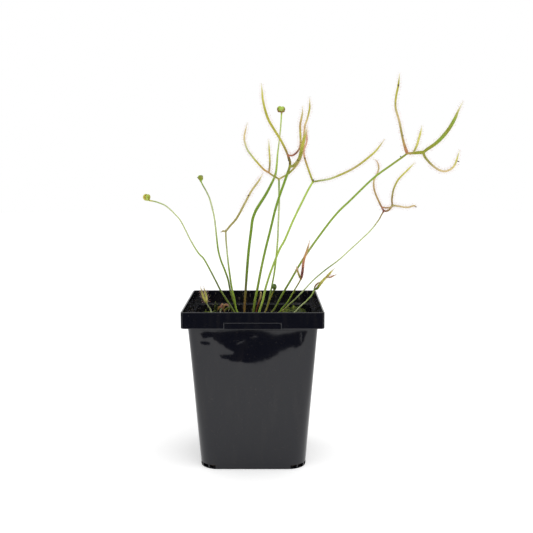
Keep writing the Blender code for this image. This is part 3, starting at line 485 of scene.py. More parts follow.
# Form of stems and arms: how flat they are, how far they twist in radians, how deep the channel
# along them is, and how they thin and fade towards an arm's tip
LIVE_STEM = {"flatness": 1.0, "twist": 0.4, "channel": 0.04}
DEAD_STEM = {"flatness": 0.6, "twist": 2.5, "channel": 0.15}
ARM_FLATNESS = 0.5
ARM_TWIST = 0.35
ARM_CHANNEL = 0.12
DEAD_TWIST = 4
TIP_WIDTH = 0.2
TIP_TAPER = 0.8
TIP_FADE = 2
STRAND_SIDES = 12
ROUND_END = (75, 50, 25)
STEM_STEP = 1.6 * MM
FORK_REACH = 1.5 * MM
FORK_ROUNDS = 5
LEAF_CREASE = radians(50)
NEAREST = 0.01 * MM
RED_GAIN = 1.3

# Rows of hairs round an arm, as an angle and a share of the full length, how far in degrees a hair
# swings off its row, and how it leans along the arm
HAIR_ROWS = ((0, 1.0), (180, 1.0), (24, 0.8), (156, 0.8), (55, 0.5), (125, 0.5), (90, 0.35))
HAIR_CHANCE = 0.8
HAIR_SWING = 13
HAIR_LEAN = (-0.05, 0.45)
HAIR_SHIFT = 0.3
HAIR_SIZES = (0.7, 1.15)
ROLL_HAIR_SIZES = (0.15, 0.32)
DEW_CHANCE = 0.35
DEW_LEAST = 0.8 * MM

# A gland hair 1 long: its stalk and its oval head, and a drop of dew on one
STALK_RADII = (0.032, 0.014)
STALK_STEPS = 4
STALK_LENGTH = 0.92
STALK_BEND = 0.1
HEAD_PLACE = Vector((0.088, 0, 0.94))
HEAD_RADIUS = 0.045
HEAD_LENGTH = 1.35
DEW_PLACE = Vector((0.088, 0, 0.96))
DEW_RADIUS = 0.085

# Specks caught in the hairs, as (x, z) on the front view's plane and their length and height
SPECKS = {
    "leaf_coiled_far_left": [((-72.8, 178.6), (0.8, 0.7))],
    "leaf_coiled_left": [((-37.6, 190.8), (0.7, 0.6)), ((-34.2, 191.8), (0.8, 0.6))],
    "leaf_curved_left": [((-3.4, 178.8), (1.3, 0.9)), ((-22.1, 154.1), (1.0, 0.8))],
    "leaf_forked_tall": [((23.6, 202.3), (0.9, 1.3)), ((24.1, 200.2), (0.8, 1.1)),
                         ((24.2, 204.2), (0.7, 0.8)), ((30, 202.1), (1.1, 0.9))],
    "leaf_forked_lime": [((34.6, 203.7), (0.9, 1.2)), ((40.5, 189.2), (1.4, 1.1))],
    "leaf_forked_high_right": [((98.7, 204.8), (0.9, 1.0)), ((96.4, 251.6), (0.9, 1.9)),
                               ((100.2, 218.7), (0.9, 0.6)), ((132.8, 197.6), (0.7, 0.6)),
                               ((137.5, 201.5), (1.9, 0.8))],
    "leaf_forked_low_right": [((109.8, 171.1), (1.2, 0.9))],
    "leaf_small_pink": [((33.3, 126), (1.0, 1.3)), ((33.5, 129.2), (0.8, 1.0)),
                        ((32.5, 123.6), (0.9, 1.0))],
    "leaf_small_left": [((-33.4, 105.4), (1.0, 1.0))],
}

# Moss in millimetres: its middle, its half sizes, its height over the soil, and the foot, height
# and width of each tall shoot
Moss = namedtuple("Moss", "centre size height sprigs", defaults=((),))

MOSS = {
    "moss_cushion": Moss((28.6, 29), (8.6, 8), 6),
    "moss_tuft": Moss((-32.4, 28.5), (5.6, 7), 2.2,
                      [((-29.4, 29.5), 11, 1.8), ((-27.9, 30), 10, 1.6), ((-35.5, 26), 6, 2)]),
}
MOSS_LEVELS = 8
MOSS_SIDES = 28
MOSS_RISE = 0.5
MOSS_CORE_Z = 80
MOSS_LUMPS = 0.14

# Shoots of moss, in millimetres. Leaflets sit a turn in radians apart, and are shorter and more
# upright towards a shoot's top. A leaflet's own shape is given for a length of 1.
SHOOT_HEIGHTS = (0.9, 2.6)
SHOOT_WIDTHS = (1.1, 2.2)
SHOOT_SPREAD = 0.4
SHOOT_DEPTH = -0.4
LEAFLET_TURN = 2.4
LEAFLET_RISE = (0.5, 2.0)
LEAFLET_SIZE = (0.8, 0.5)
LEAFLET_SIZES = (0.7, 1.2)
LEAFLET_RADII = (0.16, 0.02)
LEAFLET_BEND = 0.25
SPRIG_LEAFLETS = 9
SPRIG_WIDTH = 0.75
SPRIG_WAY = Vector((0.12, 0, 1))


def blend(a, b, t):
    """The value a share t of the way from a to b."""
    return a + (b - a) * t


def share(z, low, high):
    """How far a height is on the way from low to high, as a share."""
    return (z - low) / (high - low)


def arc(count, start, end):
    """Pairs of cosine and sine along an arc in degrees, ends included."""
    for step in range(count + 1):
        angle = radians(blend(start, end, step / count))
        yield cos(angle), sin(angle)


def circle(sides):
    """Pairs of cosine and sine at even steps round a circle."""
    return list(arc(sides, 0, 360))[:sides]


def link(mesh, name):
    """A new object for a mesh, linked to the scene."""
    obj = bpy.data.objects.new(name, mesh)
    bpy.context.scene.collection.objects.link(obj)
    return obj


def as_mesh(bm, name):
    """Keep an edited mesh as a new one, and free it."""
    mesh = bpy.data.meshes.new(name)
    bm.to_mesh(mesh)
    bm.free()
    return mesh


def piece(mesh, name, mat, replaces=()):
    """A finished piece: shown, riding on the body, with its finish and what it stands for."""
    obj = link(mesh, name)
    mesh.materials.clear()
    mesh.materials.append(mat)
    mesh.shade_smooth()
    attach(obj, BODY)
    if replaces:
        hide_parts(*replaces)
    return obj


def skin(bm, loops):
    """Extrude one closed face through a list of loops of points, capped at both ends."""
    made = bmesh.ops.create_circle(bm, cap_ends=True, radius=1, segments=len(loops[0]))
    face = made["verts"][0].link_faces[0]
    first = list(face.verts)
    for number, loop in enumerate(loops):
        if number:
            face = bmesh.ops.extrude_discrete_faces(bm, faces=[face])["faces"][0]
        for vert, point in zip(face.verts, loop):
            vert.co = point
    bm.faces.new(reversed(first))
    bmesh.ops.recalc_face_normals(bm, faces=bm.faces)


def strand(loops):
    """A closed mesh through a list of loops of points."""
    bm = bmesh.new()
    skin(bm, loops)
    return as_mesh(bm, "strand")


def boolean(mesh, operation, others):
    """Join other meshes to one or cut them from it, by one Boolean on a collection."""
    obj = link(mesh, "whole")
    tools = bpy.data.collections.new("tools")
    bpy.context.scene.collection.children.link(tools)
    for number, other in enumerate(others):
        tools.objects.link(bpy.data.objects.new(f"tool_{number}", other))
    step = obj.modifiers.new(operation, "BOOLEAN")
    step.operation = operation
    step.operand_type = "COLLECTION"
    step.collection = tools
    step.solver = "EXACT"
    graph = bpy.context.evaluated_depsgraph_get()
    made = bpy.data.meshes.new_from_object(obj.evaluated_get(graph))
    for other in [*tools.objects, obj]:
        bpy.data.objects.remove(other, do_unlink=True)
    bpy.data.collections.remove(tools)
    return made


# Materials


def noise_group(name, inputs, output, kind, detail):
    """A shader node group with named sockets, and noise in it that its inputs stretch and scale."""
    group = bpy.data.node_groups.new(name, "ShaderNodeTree")
    for label, socket_kind, value in (*inputs, ("Stretch", "NodeSocketVector", (1, 1, 1))):
        group.interface.new_socket(label, in_out="INPUT", socket_type=socket_kind).default_value = value
    group.interface.new_socket(output, in_out="OUTPUT", socket_type=kind)
    source = group.nodes.new("NodeGroupInput")
    place = group.nodes.new("ShaderNodeTexCoord")
    stretch = group.nodes.new("ShaderNodeVectorMath")
    stretch.operation = "MULTIPLY"
    spots = group.nodes.new("ShaderNodeTexNoise")
    spots.inputs["Detail"].default_value = detail
    wire = group.links.new
    wire(place.outputs["Object"], stretch.inputs[0])
    wire(source.outputs["Stretch"], stretch.inputs[1])
    wire(stretch.outputs["Vector"], spots.inputs["Vector"])
    wire(source.outputs["Scale"], spots.inputs["Scale"])
    return group, source, spots.outputs["Fac"]


def speckle_group():
    """Soft edged spots of noise, from 0 to 1, for mottling, dust and stains."""
    inputs = [("Scale", "NodeSocketFloat", 400), ("From", "NodeSocketFloat", 0.45),
              ("To", "NodeSocketFloat", 0.65)]
    group, source, spots = noise_group("Speckle", inputs, "Mask", "NodeSocketFloat", 4)
    edge = group.nodes.new("ShaderNodeMapRange")
    edge.interpolation_type = "SMOOTHSTEP"
    wire = group.links.new
    wire(spots, edge.inputs["Value"])
    wire(source.outputs["From"], edge.inputs["From Min"])
    wire(source.outputs["To"], edge.inputs["From Max"])
    wire(edge.outputs["Result"], group.nodes.new("NodeGroupOutput").inputs["Mask"])
    return group


def grain_group():
    """A bumped normal from stretched noise, for moulded plastic, peat and leaf skin."""
    inputs = [("Scale", "NodeSocketFloat", 900), ("Depth", "NodeSocketFloat", 0.0001)]
    group, source, spots = noise_group("Grain", inputs, "Normal", "NodeSocketVector", 3)
    bump = group.nodes.new("ShaderNodeBump")
    wire = group.links.new
    wire(spots, bump.inputs["Height"])
    wire(source.outputs["Depth"], bump.inputs["Distance"])
    wire(bump.outputs["Normal"], group.nodes.new("NodeGroupOutput").inputs["Normal"])
    return group


def group_node(mat, name, **values):
    """Place a shared group in a material with its own values; builds the group once."""
    made = bpy.data.node_groups.get(name)
    if made is None:
        made = {"Speckle": speckle_group, "Grain": grain_group}[name]()
    node = mat.node_tree.nodes.new("ShaderNodeGroup")
    node.node_tree = made
    for label, value in values.items():
        node.inputs[label].default_value = value
    return node


def speckle(mat, scale, start, end, stretch=(1, 1, 1)):
    """The mask of a placed speckle group."""
    return group_node(mat, "Speckle", Scale=scale, From=start, To=end, Stretch=stretch).outputs["Mask"]


def add_grain(mat, shader, scale, depth, stretch=(1, 1, 1)):
    """Bump a shader with a placed grain group."""
    grain = group_node(mat, "Grain", Scale=scale, Depth=depth, Stretch=stretch)
    mat.node_tree.links.new(grain.outputs["Normal"], shader.inputs["Normal"])


def base_material(name, roughness):
    """A new material and its shader."""
    mat = bpy.data.materials.new(name)
    mat.use_nodes = True
    shader = mat.node_tree.nodes["Principled BSDF"]
    shader.inputs["Roughness"].default_value = roughness
    return mat, shader


def mix(mat, mask, low, high):
    """A colour between two, by a mask; each may be a colour or a socket."""
    node = mat.node_tree.nodes.new("ShaderNodeMix")
    node.data_type = "RGBA"
    mat.node_tree.links.new(mask, node.inputs["Factor"])
    for label, value in (("A", low), ("B", high)):
        socket = [s for s in node.inputs if s.name == label and s.type == "RGBA"][0]
        if isinstance(value, bpy.types.NodeSocket):
            mat.node_tree.links.new(value, socket)
        else:
            socket.default_value = (*value, 1)
    return [s for s in node.outputs if s.type == "RGBA"][0]


def scaled(mat, socket, low, high):
    """A value between low and high, by a mask from 0 to 1."""
    node = mat.node_tree.nodes.new("ShaderNodeMapRange")
    node.inputs["To Min"].default_value = low
    node.inputs["To Max"].default_value = high
    mat.node_tree.links.new(socket, node.inputs["Value"])
    return node.outputs["Result"]


def product(mat, first, second):
    """Two masks multiplied."""
    node = mat.node_tree.nodes.new("ShaderNodeMath")
    node.operation = "MULTIPLY"
    mat.node_tree.links.new(first, node.inputs[0])
    mat.node_tree.links.new(second, node.inputs[1])
    return node.outputs["Value"]


def attribute(mat, name, output="Fac"):
    """What the mesh holds under a name, as a socket."""
    node = mat.node_tree.nodes.new("ShaderNodeAttribute")
    node.attribute_name = name
    return node.outputs[output]


def plastic_material(settings):
    """Black moulded plastic: glossy, with faint flow lines, smears and a little dust, and peat
    splashed on the inner walls."""
    mat, shader = base_material("pot_plastic", 0.05)
    wire = mat.node_tree.links.new
    streaks = speckle(mat, 260, 0.45, 0.75, (1, 1, 0.12))
    dust = speckle(mat, 1400, 0.66, 0.74)
    splashes = product(mat, speckle(mat, 420, 0.58, 0.7, (1, 1, 0.6)), attribute(mat, "inner"))
    tint = settings.plastic
    for mask, most in ((streaks, 0.02), (dust, 0.2), (splashes, 0.4)):
        tint = mix(mat, scaled(mat, mask, 0, most), tint, settings.dust)
    wire(tint, shader.inputs["Base Color"])
    smear = speckle(mat, 60, 0.4, 0.75, (1, 1, 0.35))
    wire(scaled(mat, smear, 0.035, 0.06), shader.inputs["Roughness"])
    add_grain(mat, shader, 160, 0.000008, (1, 1, 0.5))
    shader.inputs["IOR"].default_value = 1.44
    return mat


def peat_material(settings):
    """Peat: dark and light in patches, with a coarse grain."""
    mat, shader = base_material("peat", 0.92)
    tint = mix(mat, speckle(mat, 500, 0.35, 0.75), settings.dark, settings.light)
    mat.node_tree.links.new(tint, shader.inputs["Base Color"])
    add_grain(mat, shader, 2600, 0.0003)
    return mat


def moss_material(settings):
    """Moss: dark at the foot of each leaflet, a painted shade for the depth of the cushion, and bright in
    patches at their tips.
    """
    mat, shader = base_material("moss", 0.8)
    patches = scaled(mat, speckle(mat, 620, 0.44, 0.6), 0.12, 1)
    bright = mix(mat, patches, settings.green, settings.light)
    # Painted shade: each leaflet runs from the shaded moss colour at its foot to its tip colour.
    tint = mix(mat, attribute(mat, "shade"), settings.green, bright)
    mat.node_tree.links.new(tint, shader.inputs["Base Color"])
    return mat


def leaf_material():
    """Leaf skin: the tones along each leaf, mottled, with fine lengthwise grain."""
    mat, shader = base_material("leaf_skin", 0.42)
    wire = mat.node_tree.links.new
    tint = attribute(mat, "tint", "Color")
    dark = mat.node_tree.nodes.new("ShaderNodeHueSaturation")
    dark.inputs["Value"].default_value = 0.8
    wire(tint, dark.inputs["Color"])
    mottle = speckle(mat, 900, 0.3, 0.75, (1, 1, 0.4))
    wire(mix(mat, mottle, tint, dark.outputs["Color"]), shader.inputs["Base Color"])
    add_grain(mat, shader, 2200, 0.00012, (1, 1, 0.25))
    shader.inputs["Specular IOR Level"].default_value = 0.4
    shader.inputs["Subsurface Weight"].default_value = 0.2
    shader.inputs["Subsurface Radius"].default_value = (1.0, 0.9, 0.35)
    shader.inputs["Subsurface Scale"].default_value = 0.5 * MM
    return mat


def hair_material(settings):
    """Gland hairs: pale, with a pink shiny head, and redder where their arm is red."""
    mat, shader = base_material("gland_hair", 0.3)
    wire = mat.node_tree.links.new
    up = attribute(mat, "shade")
    ramp = mat.node_tree.nodes.new("ShaderNodeValToRGB")
    stops = ramp.color_ramp.elements
    stops[0].color = (*settings.hair_pale, 1)
    stops[1].position = 0.6
    stops[1].color = (*settings.hair_upper, 1)
    stops.new(0.85).color = (*settings.gland, 1)
    wire(up, ramp.inputs["Fac"])
    red = product(mat, up, attribute(mat, "flush"))
    wire(mix(mat, red, ramp.outputs["Color"], settings.flush), shader.inputs["Base Color"])
    return mat


def debris_material(settings):
    """Caught midges and crumbs, dark with rusty patches."""
    mat, shader = base_material("debris", 0.6)
    tint = mix(mat, speckle(mat, 1500, 0.45, 0.7), settings.midge, settings.rust)
    mat.node_tree.links.new(tint, shader.inputs["Base Color"])
    return mat


def dew_material():
    """Clear drops."""
    mat, shader = base_material("dew", 0.02)
    shader.inputs["Base Color"].default_value = (1, 1, 1, 1)
    shader.inputs["Transmission Weight"].default_value = 1
    shader.inputs["IOR"].default_value = 1.34
    return mat


# Pot


def level(half, radius, z):
    """Points of a level square with arcs at its corners and steps along its sides that keep them flat."""
    radius = max(radius, LEAST_CORNER)
    side = half - radius
    points = []
    for quarter in range(4):
        turn = Matrix.Rotation(quarter * pi / 2, 4, "Z")
        for right, up in arc(CORNER_STEPS, 0, 90):
            points.append(turn @ Vector((half - radius * (1 - right), half - radius * (1 - up), z)))
        for step in range(SIDE_STEPS - 1):
            x = blend(side - SUPPORT, SUPPORT - side, step / (SIDE_STEPS - 2))
            points.append(turn @ Vector((x, half, z)))
    return points


def body_half(z):
    """Half the outer width of the pot's body at a height."""
    return blend(BASE_HALF, BODY_HALF, share(z, FOOT_ROUND, BODY_TOP))


def body_corner(z):
    """The outer corner radius of the pot's body at a height."""
    return blend(BASE_CORNER, TOP_CORNER, share(z, FOOT_ROUND, BODY_TOP))


def sloping(low, high, count, inset):
    """Levels of the pot's sloping wall, a way inside its outer face."""
    heights = [blend(low, high, part / (count - 1)) for part in range(count)]
    return [level(body_half(z) - inset, body_corner(z) - inset, z) for z in heights]


def upright(half, radius, low, high):
    """Two levels of an upright wall, just inside its ends, that keep it flat under smooth shading."""
    return [level(half, radius, low + SUPPORT), level(half, radius, high - SUPPORT)]


def rounded(half, radius, z, size, growth, steps, start, end):
    """Levels round an edge, about the half, corner and height of its middle, from angle to angle.

    Growth is how far the corner follows the half.
    """
    return [level(half + size * right, radius + size * growth * right, z + size * up)
            for right, up in arc(steps, start, end)]


def pot_levels(lip):
    """The pot's levels from the underside up the outer wall, over the lip and down inside."""
    ledge = BODY_TOP + WALL
    floor = BASE_THICK + INNER_ROUND
    mouth = BODY_HALF - WALL
    inner, inner_corner = RIM_HALF - WALL, RIM_CORNER - WALL
    top, foot, edge, throat = POT_HEIGHT - lip, FOOT_ROUND, EDGE_ROUND, BODY_TOP - FILLET
    return [
        level(BASE_HALF - 3 * foot, BASE_CORNER - 3 * foot, 0),
        *rounded(BASE_HALF - foot, BASE_CORNER - foot, foot, foot, 1, 4, -90, 0),
        *sloping(foot + SUPPORT, throat - SUPPORT, OUTER_LEVELS, 0),
        *rounded(body_half(throat) + FILLET, TOP_CORNER + FILLET / 2, throat, FILLET, 0.5, 4, 180, 100),
        level(RIM_HALF - edge - SUPPORT, RIM_CORNER, BODY_TOP),
        *rounded(RIM_HALF - edge, RIM_CORNER, BODY_TOP + edge, edge, 0, 4, -90, 0),
        *upright(RIM_HALF, RIM_CORNER, BODY_TOP + edge, top),
        *rounded(RIM_HALF - lip, RIM_CORNER - lip, top, lip, 1, 6, 0, 90),
        *rounded(inner + lip, inner_corner + lip, top, lip, 1, 5, 90, 180),
        *reversed(upright(inner, inner_corner, ledge + edge, top)),
        *rounded(inner - edge, inner_corner, ledge + edge, edge, 0, 3, 0, -90),
        level(mouth + 2 * edge, TOP_CORNER - WALL, ledge),
        *rounded(mouth + edge, TOP_CORNER - WALL, ledge - edge, edge, 0, 3, 90, 180),
        *sloping(BODY_TOP, floor, INNER_LEVELS, WALL),
        level(body_half(floor) - WALL - INNER_ROUND, BASE_CORNER - 2 * WALL, BASE_THICK),
    ]


def drain_cutters():
    """Arc shaped slots through the foot of each corner, and round holes in the base."""
    cutters = []
    centre = BASE_HALF - BASE_CORNER
    for quarter in range(4):
        turn = Matrix.Rotation(quarter * pi / 2, 4, "Z")
        for low, high in SLOT_ANGLES:
            outline = []
            for reach, start, end in ((SLOT_REACH[0], low, high), (SLOT_REACH[1], high, low)):
                outline += [(centre + reach * c, centre + reach * s) for c, s in arc(SLOT_STEPS, start, end)]
            cutters.append(strand([[turn @ Vector((*spot, z)) for spot in outline] for z in SLOT_Z]))
    for x in (-DRAIN_PLACE, DRAIN_PLACE):
        for y in (-DRAIN_PLACE, DRAIN_PLACE):
            bm = bmesh.new()
            bmesh.ops.create_cone(bm, cap_ends=True, segments=32, radius1=DRAIN_RADIUS,
                                  radius2=DRAIN_RADIUS, depth=DRAIN_CUT, matrix=Matrix.Translation((x, y, 0)))
            cutters.append(as_mesh(bm, "drain_hole"))
    return cutters


def label_cutter():
    """A flat pocket with sloping sides in the front of the rim, open at the rim's lower edge."""
    levels = []
    for proud in (-LABEL_DEPTH, LABEL_CUT):
        half, high = LABEL_HALF + LABEL_SLOPE * proud, LABEL_HEIGHT + LABEL_SLOPE * proud
        corners = ((-half, -LABEL_BELOW), (half, -LABEL_BELOW), (half, high), (-half, high))
        levels.append([Vector((x, -RIM_HALF - proud, BODY_TOP + z)) for x, z in corners])
    return strand(levels)


def side_panel():
    """A low bare panel on the left wall, with sloping edges."""
    levels = []
    for proud, inset in ((-WALL / 2, 0), (PANEL_PROUD * PANEL_SHOULDER, 0), (PANEL_PROUD, PANEL_EDGE)):
        half, low, high = PANEL_HALF - inset, PANEL_Z[0] + inset, PANEL_Z[1] - inset
        levels.append([Vector((-body_half(z) - proud, y, z))
                       for y, z in ((-half, low), (half, low), (half, high), (-half, high))])
    return strand(levels)


def bow(across, z, sway, waves, phase):
    """How far a thin wall bows in or out at a place between the foot and the rim."""
    part = sin(pi * max(0, min(1, share(z, 0, BODY_TOP))))
    return sway * part * sin(z / waves[0] + across / waves[1] + phase)


def bow_walls(mesh, sway):
    """Bow the pot's body walls in and out, and leave its foot and rim."""
    for vert in mesh.vertices:
        x, y, z = vert.co
        if abs(abs(x) - body_half(z)) < 2 * WALL:
            vert.co.x += bow(y, z, sway, SIDE_WAVES, x)
        if abs(abs(y) - body_half(z)) < 2 * WALL:
            vert.co.y += bow(x, z, sway, FRONT_WAVES, FRONT_PHASE)


def mark_inside(mesh):
    """Tell the pot's inner walls from its outside, for the splashes of peat on them."""
    held = mesh.attributes.new("inner", "FLOAT", "POINT")
    for vert in mesh.vertices:
        x, y, z = vert.co
        half, radius = (RIM_HALF, RIM_CORNER) if z > BODY_TOP else (body_half(z), body_corner(z))
        over_x, over_y = abs(x) - half + radius, abs(y) - half + radius
        if over_x > 0 and over_y > 0:
            depth = radius - hypot(over_x, over_y)
        else:
            depth = radius - max(over_x, over_y)
        held.data[vert.index].value = depth > INNER_DEPTH and z > BASE_THICK / 2


class SUNDEW_OT_pot(bpy.types.Operator):
    """Build the square tapered nursery pot, with its rim, ledge, drain slots and holes"""

    bl_idname = "sundew.pot"
    bl_label = "Pot"

    def execute(self, context):
        settings = context.scene.sundew_pot
        whole = boolean(strand(pot_levels(settings.lip)), "UNION", [side_panel()])
        whole = boolean(whole, "DIFFERENCE", [*drain_cutters(), label_cutter()])
        bow_walls(whole, settings.sway)
        mark_inside(whole)
        piece(whole, "nursery_pot", plastic_material(settings), ["pot"])
        whole.set_sharp_from_angle(angle=POT_CREASE)
        return {"FINISHED"}


# Soil and moss


def soil_height(x, y):
    """Height of the soil: a low crown in the middle and gentle waves."""
    far = min(1, hypot(x, y) / BASE_HALF)
    crown = SOIL_CROWN * (1 + cos(pi * far)) / 2
    wave = SOIL_WAVE * sin(x / SOIL_WAVES[0] + SOIL_PHASES[0]) * cos(y / SOIL_WAVES[1] + SOIL_PHASES[1])
    return SOIL_LEVEL + crown + wave * (1 - far ** 4)


def rough_height(x, y):
    """The soil's height with the lumps and pits of loose peat."""
    lumps = noise.fractal(Vector((x, y, 0)) / LUMP_SIZE, *LUMP_LAYERS)
    return soil_height(x, y) + LUMP_HEIGHT * lumps


def soil_wall(z):
    """Half width and corner radius of the soil's wall at a level, a gap inside the pot's."""
    z = max(z, BASE_THICK + INNER_ROUND)
    return body_half(z) - WALL - GAP, body_corner(z) - WALL - GAP


def carried(value, old, new):
    """Carry x or y of a rounded square's outline to the like place on another one."""
    old_inner, new_inner = old[0] - old[1], new[0] - new[1]
    over = abs(value) - old_inner
    if over <= 0:
        return value / old_inner * new_inner
    return (new_inner + over / old[1] * new[1]) * (1 if value > 0 else -1)


def soil_bmesh():
    """A closed block: a fine rough top, drawn in to round corners, over a plain body."""
    wall = soil_wall(SOIL_LEVEL)
    bm = bmesh.new()
    bmesh.ops.create_grid(bm, x_segments=SOIL_CELLS, y_segments=SOIL_CELLS, size=wall[0])
    inner = wall[0] - wall[1]
    for vert in bm.verts:
        x, y, _ = vert.co
        over_x, over_y = abs(x) - inner, abs(y) - inner
        if over_x > 0 and over_y > 0:
            pull = max(over_x, over_y) / hypot(over_x, over_y)
            x = (inner + over_x * pull) * (1 if x > 0 else -1)
            y = (inner + over_y * pull) * (1 if y > 0 else -1)
        vert.co = (x, y, rough_height(x, y))
    edges = [edge for edge in bm.edges if edge.is_boundary]
    for z in SOIL_RINGS:
        made = bmesh.ops.extrude_edge_only(bm, edges=edges)["geom"]
        edges = [item for item in made if isinstance(item, bmesh.types.BMEdge) and item.is_boundary]
        lower = soil_wall(z)
        if z == SOIL_RINGS[-1]:
            lower = (lower[0] - INNER_ROUND, lower[1] - INNER_ROUND)
        for vert in (item for item in made if isinstance(item, bmesh.types.BMVert)):
            vert.co = (carried(vert.co.x, wall, lower), carried(vert.co.y, wall, lower), z)
        wall = lower
    bmesh.ops.holes_fill(bm, edges=edges)
    bmesh.ops.recalc_face_normals(bm, faces=bm.faces)
    return bm


def crumb_mesh(draw):
    """One irregular crumb of peat, about 1 across, from a ball."""
    bm = bmesh.new()
    bmesh.ops.create_icosphere(bm, subdivisions=1, radius=0.5)
    for vert in bm.verts:
        vert.co *= draw.uniform(*CRUMB_UNEVEN)
    return as_mesh(bm, "crumb")


def fibre_mesh():
    """One bent fibre, 1 long, along X."""
    loops = []
    for step in range(FIBRE_STEPS + 1):
        x = step / FIBRE_STEPS - 0.5
        middle = Vector((x, FIBRE_BEND * sin(3 * x), FIBRE_ARCH * (0.25 - x * x)))
        loops.append([middle + FIBRE_RADIUS * Vector((0, c, s)) for c, s in circle(4)])
    return strand(loops)


def copies(template, places, shade=None, name="copies", flush=None):
    """Many copies of one small mesh, each placed by a matrix, joined in a new mesh.

    Shade is one value for each of the template's points, and flush one for each copy.
    """
    count = len(template.vertices)
    flat = np.empty(count * 3, np.float32)
    template.vertices.foreach_get("co", flat)
    points = np.c_[flat.reshape(-1, 3), np.ones(count)]
    loops = np.empty(len(template.loops), np.int32)
    template.loops.foreach_get("vertex_index", loops)
    starts = np.empty(len(template.polygons), np.int32)
    template.polygons.foreach_get("loop_start", starts)
    matrices = np.array([[list(row) for row in matrix] for matrix in places])
    placed = np.einsum("nij,vj->nvi", matrices, points)[:, :, :3]
    steps = np.arange(len(places))
    mesh = bpy.data.meshes.new(name)
    mesh.vertices.add(placed.shape[0] * count)
    mesh.vertices.foreach_set("co", placed.astype(np.float32).ravel())
    mesh.loops.add(len(places) * len(loops))
    mesh.loops.foreach_set("vertex_index", (loops[None] + steps[:, None] * count).ravel())
    mesh.polygons.add(len(places) * len(starts))
    mesh.polygons.foreach_set("loop_start", (starts[None] + steps[:, None] * len(loops)).ravel())
    mesh.update(calc_edges=True)
    if shade is not None:
        held = mesh.attributes.new("shade", "FLOAT", "POINT")
        held.data.foreach_set("value", np.tile(np.asarray(shade, np.float32), len(places)))
    if flush is not None:
        held = mesh.attributes.new("flush", "FLOAT", "POINT")
        held.data.foreach_set("value", np.repeat(np.asarray(flush, np.float32), count))
    mesh.validate()
    return mesh


def turned(place, draw, size, flat=1.0):
    """A place for something loose that lies level, turned at random and tilted a little."""
    turn = Matrix.Rotation(draw.uniform(0, 2 * pi), 4, "Z")
    tilt = Matrix.Rotation(draw.uniform(-LOOSE_TILT, LOOSE_TILT), 4, "X")
    return Matrix.Translation(place) @ turn @ tilt @ Matrix.Diagonal((size, size, size * flat, 1))


def soil_places(count, draw, reach):
    """Places on the soil's surface, clear of the wall and its round corners."""
    half = soil_wall(SOIL_LEVEL)[0] * reach
    inner = half - CRUMB_CORNER
    made = []
    while len(made) < count:
        x, y = draw.uniform(-half, half), draw.uniform(-half, half)
        if hypot(max(0, abs(x) - inner), max(0, abs(y) - inner)) < CRUMB_CORNER:
            made.append(Vector((x, y, rough_height(x, y))))
    return made


class SUNDEW_OT_soil(bpy.types.Operator):
    """Build the peat with a rough top, loose crumbs and fibres"""

    bl_idname = "sundew.soil"
    bl_label = "Soil"

    def execute(self, context):
        settings = context.scene.sundew_soil
        draw = random.Random(3)
        mat = peat_material(settings)
        piece(as_mesh(soil_bmesh(), "peat_block"), "peat_block", mat, ["soil"])
        crumb = crumb_mesh(draw)
        spots = [turned(p, draw, draw.uniform(*CRUMB_SIZES) * MM, draw.uniform(*CRUMB_FLATNESS))
                 for p in soil_places(settings.crumbs, draw, CRUMB_REACH)]
        piece(copies(crumb, spots, name="peat_crumbs"), "peat_crumbs", mat)
        spots = [turned(p + FIBRE_LIFT, draw, draw.uniform(*FIBRE_LENGTHS) * MM)
                 for p in soil_places(settings.fibres, draw, FIBRE_REACH)]
        piece(copies(fibre_mesh(), spots, name="peat_fibres"), "peat_fibres", mat)
        return {"FINISHED"}


def dome_point(moss, part, angle, lift=0.0):
    """A point on a moss dome: part is 0 at its edge and 1 at its top."""
    wide = cos(part * pi / 2)
    lump = 1 + MOSS_LUMPS * sin(3 * angle + moss.centre[0]) * cos(2 * angle + 4 * part)
    x = (moss.centre[0] + moss.size[0] * wide * lump * cos(angle)) * MM
    y = (moss.centre[1] + moss.size[1] * wide * lump * sin(angle)) * MM
    return Vector((x, y, soil_height(x, y) + (MOSS_RISE + sin(part * pi / 2) * moss.height + lift) * MM))


def moss_leaflet():
    """One pointed moss leaflet, 1 long, standing up; the mesh and its shade."""
    bm = bmesh.new()
    bmesh.ops.create_cone(bm, cap_ends=False, segments=3, radius1=LEAFLET_RADII[0],
                          radius2=LEAFLET_RADII[1], depth=1, matrix=Matrix.Translation((0, 0, 0.5)))
    sides = [edge for edge in bm.edges if abs(edge.verts[0].co.z - edge.verts[1].co.z) > 0.5]
    bmesh.ops.subdivide_edges(bm, edges=sides, cuts=2)
    for vert in bm.verts:
        vert.co.x += LEAFLET_BEND * vert.co.z ** 2
    shade = [vert.co.z for vert in bm.verts]
    return as_mesh(bm, "moss_leaflet"), shade


def moss_core(moss):
    """The closed dome under the shoots."""
    return strand([[dome_point(moss, number / MOSS_LEVELS, 2 * pi * side / MOSS_SIDES)
                    for side in range(MOSS_SIDES)] for number in range(MOSS_LEVELS)])


def toward(direction, twist=0.0):
    """A turn that points Z along a direction."""
    return direction.to_track_quat("Z", "Y").to_matrix().to_4x4() @ Matrix.Rotation(twist, 4, "Z")


def shoot_places(foot, way, height, width, count, draw):
    """Leaflets up a moss shoot, in millimetres high and wide, turned round it step by step."""
    made = []
    turn = toward(way.normalized(), draw.uniform(0, 6))
    for step in range(count):
        up = step / count
        angle = step * LEAFLET_TURN
        out = Vector((cos(angle), sin(angle), blend(*LEAFLET_RISE, up))).normalized()
        size = width * MM * blend(*LEAFLET_SIZE, up) * draw.uniform(*LEAFLET_SIZES)
        made.append(Matrix.Translation(foot) @ turn @ Matrix.Translation((0, 0, height * up * MM))
                    @ toward(out, draw.uniform(0, 6)) @ Matrix.Scale(size, 4))
    return made


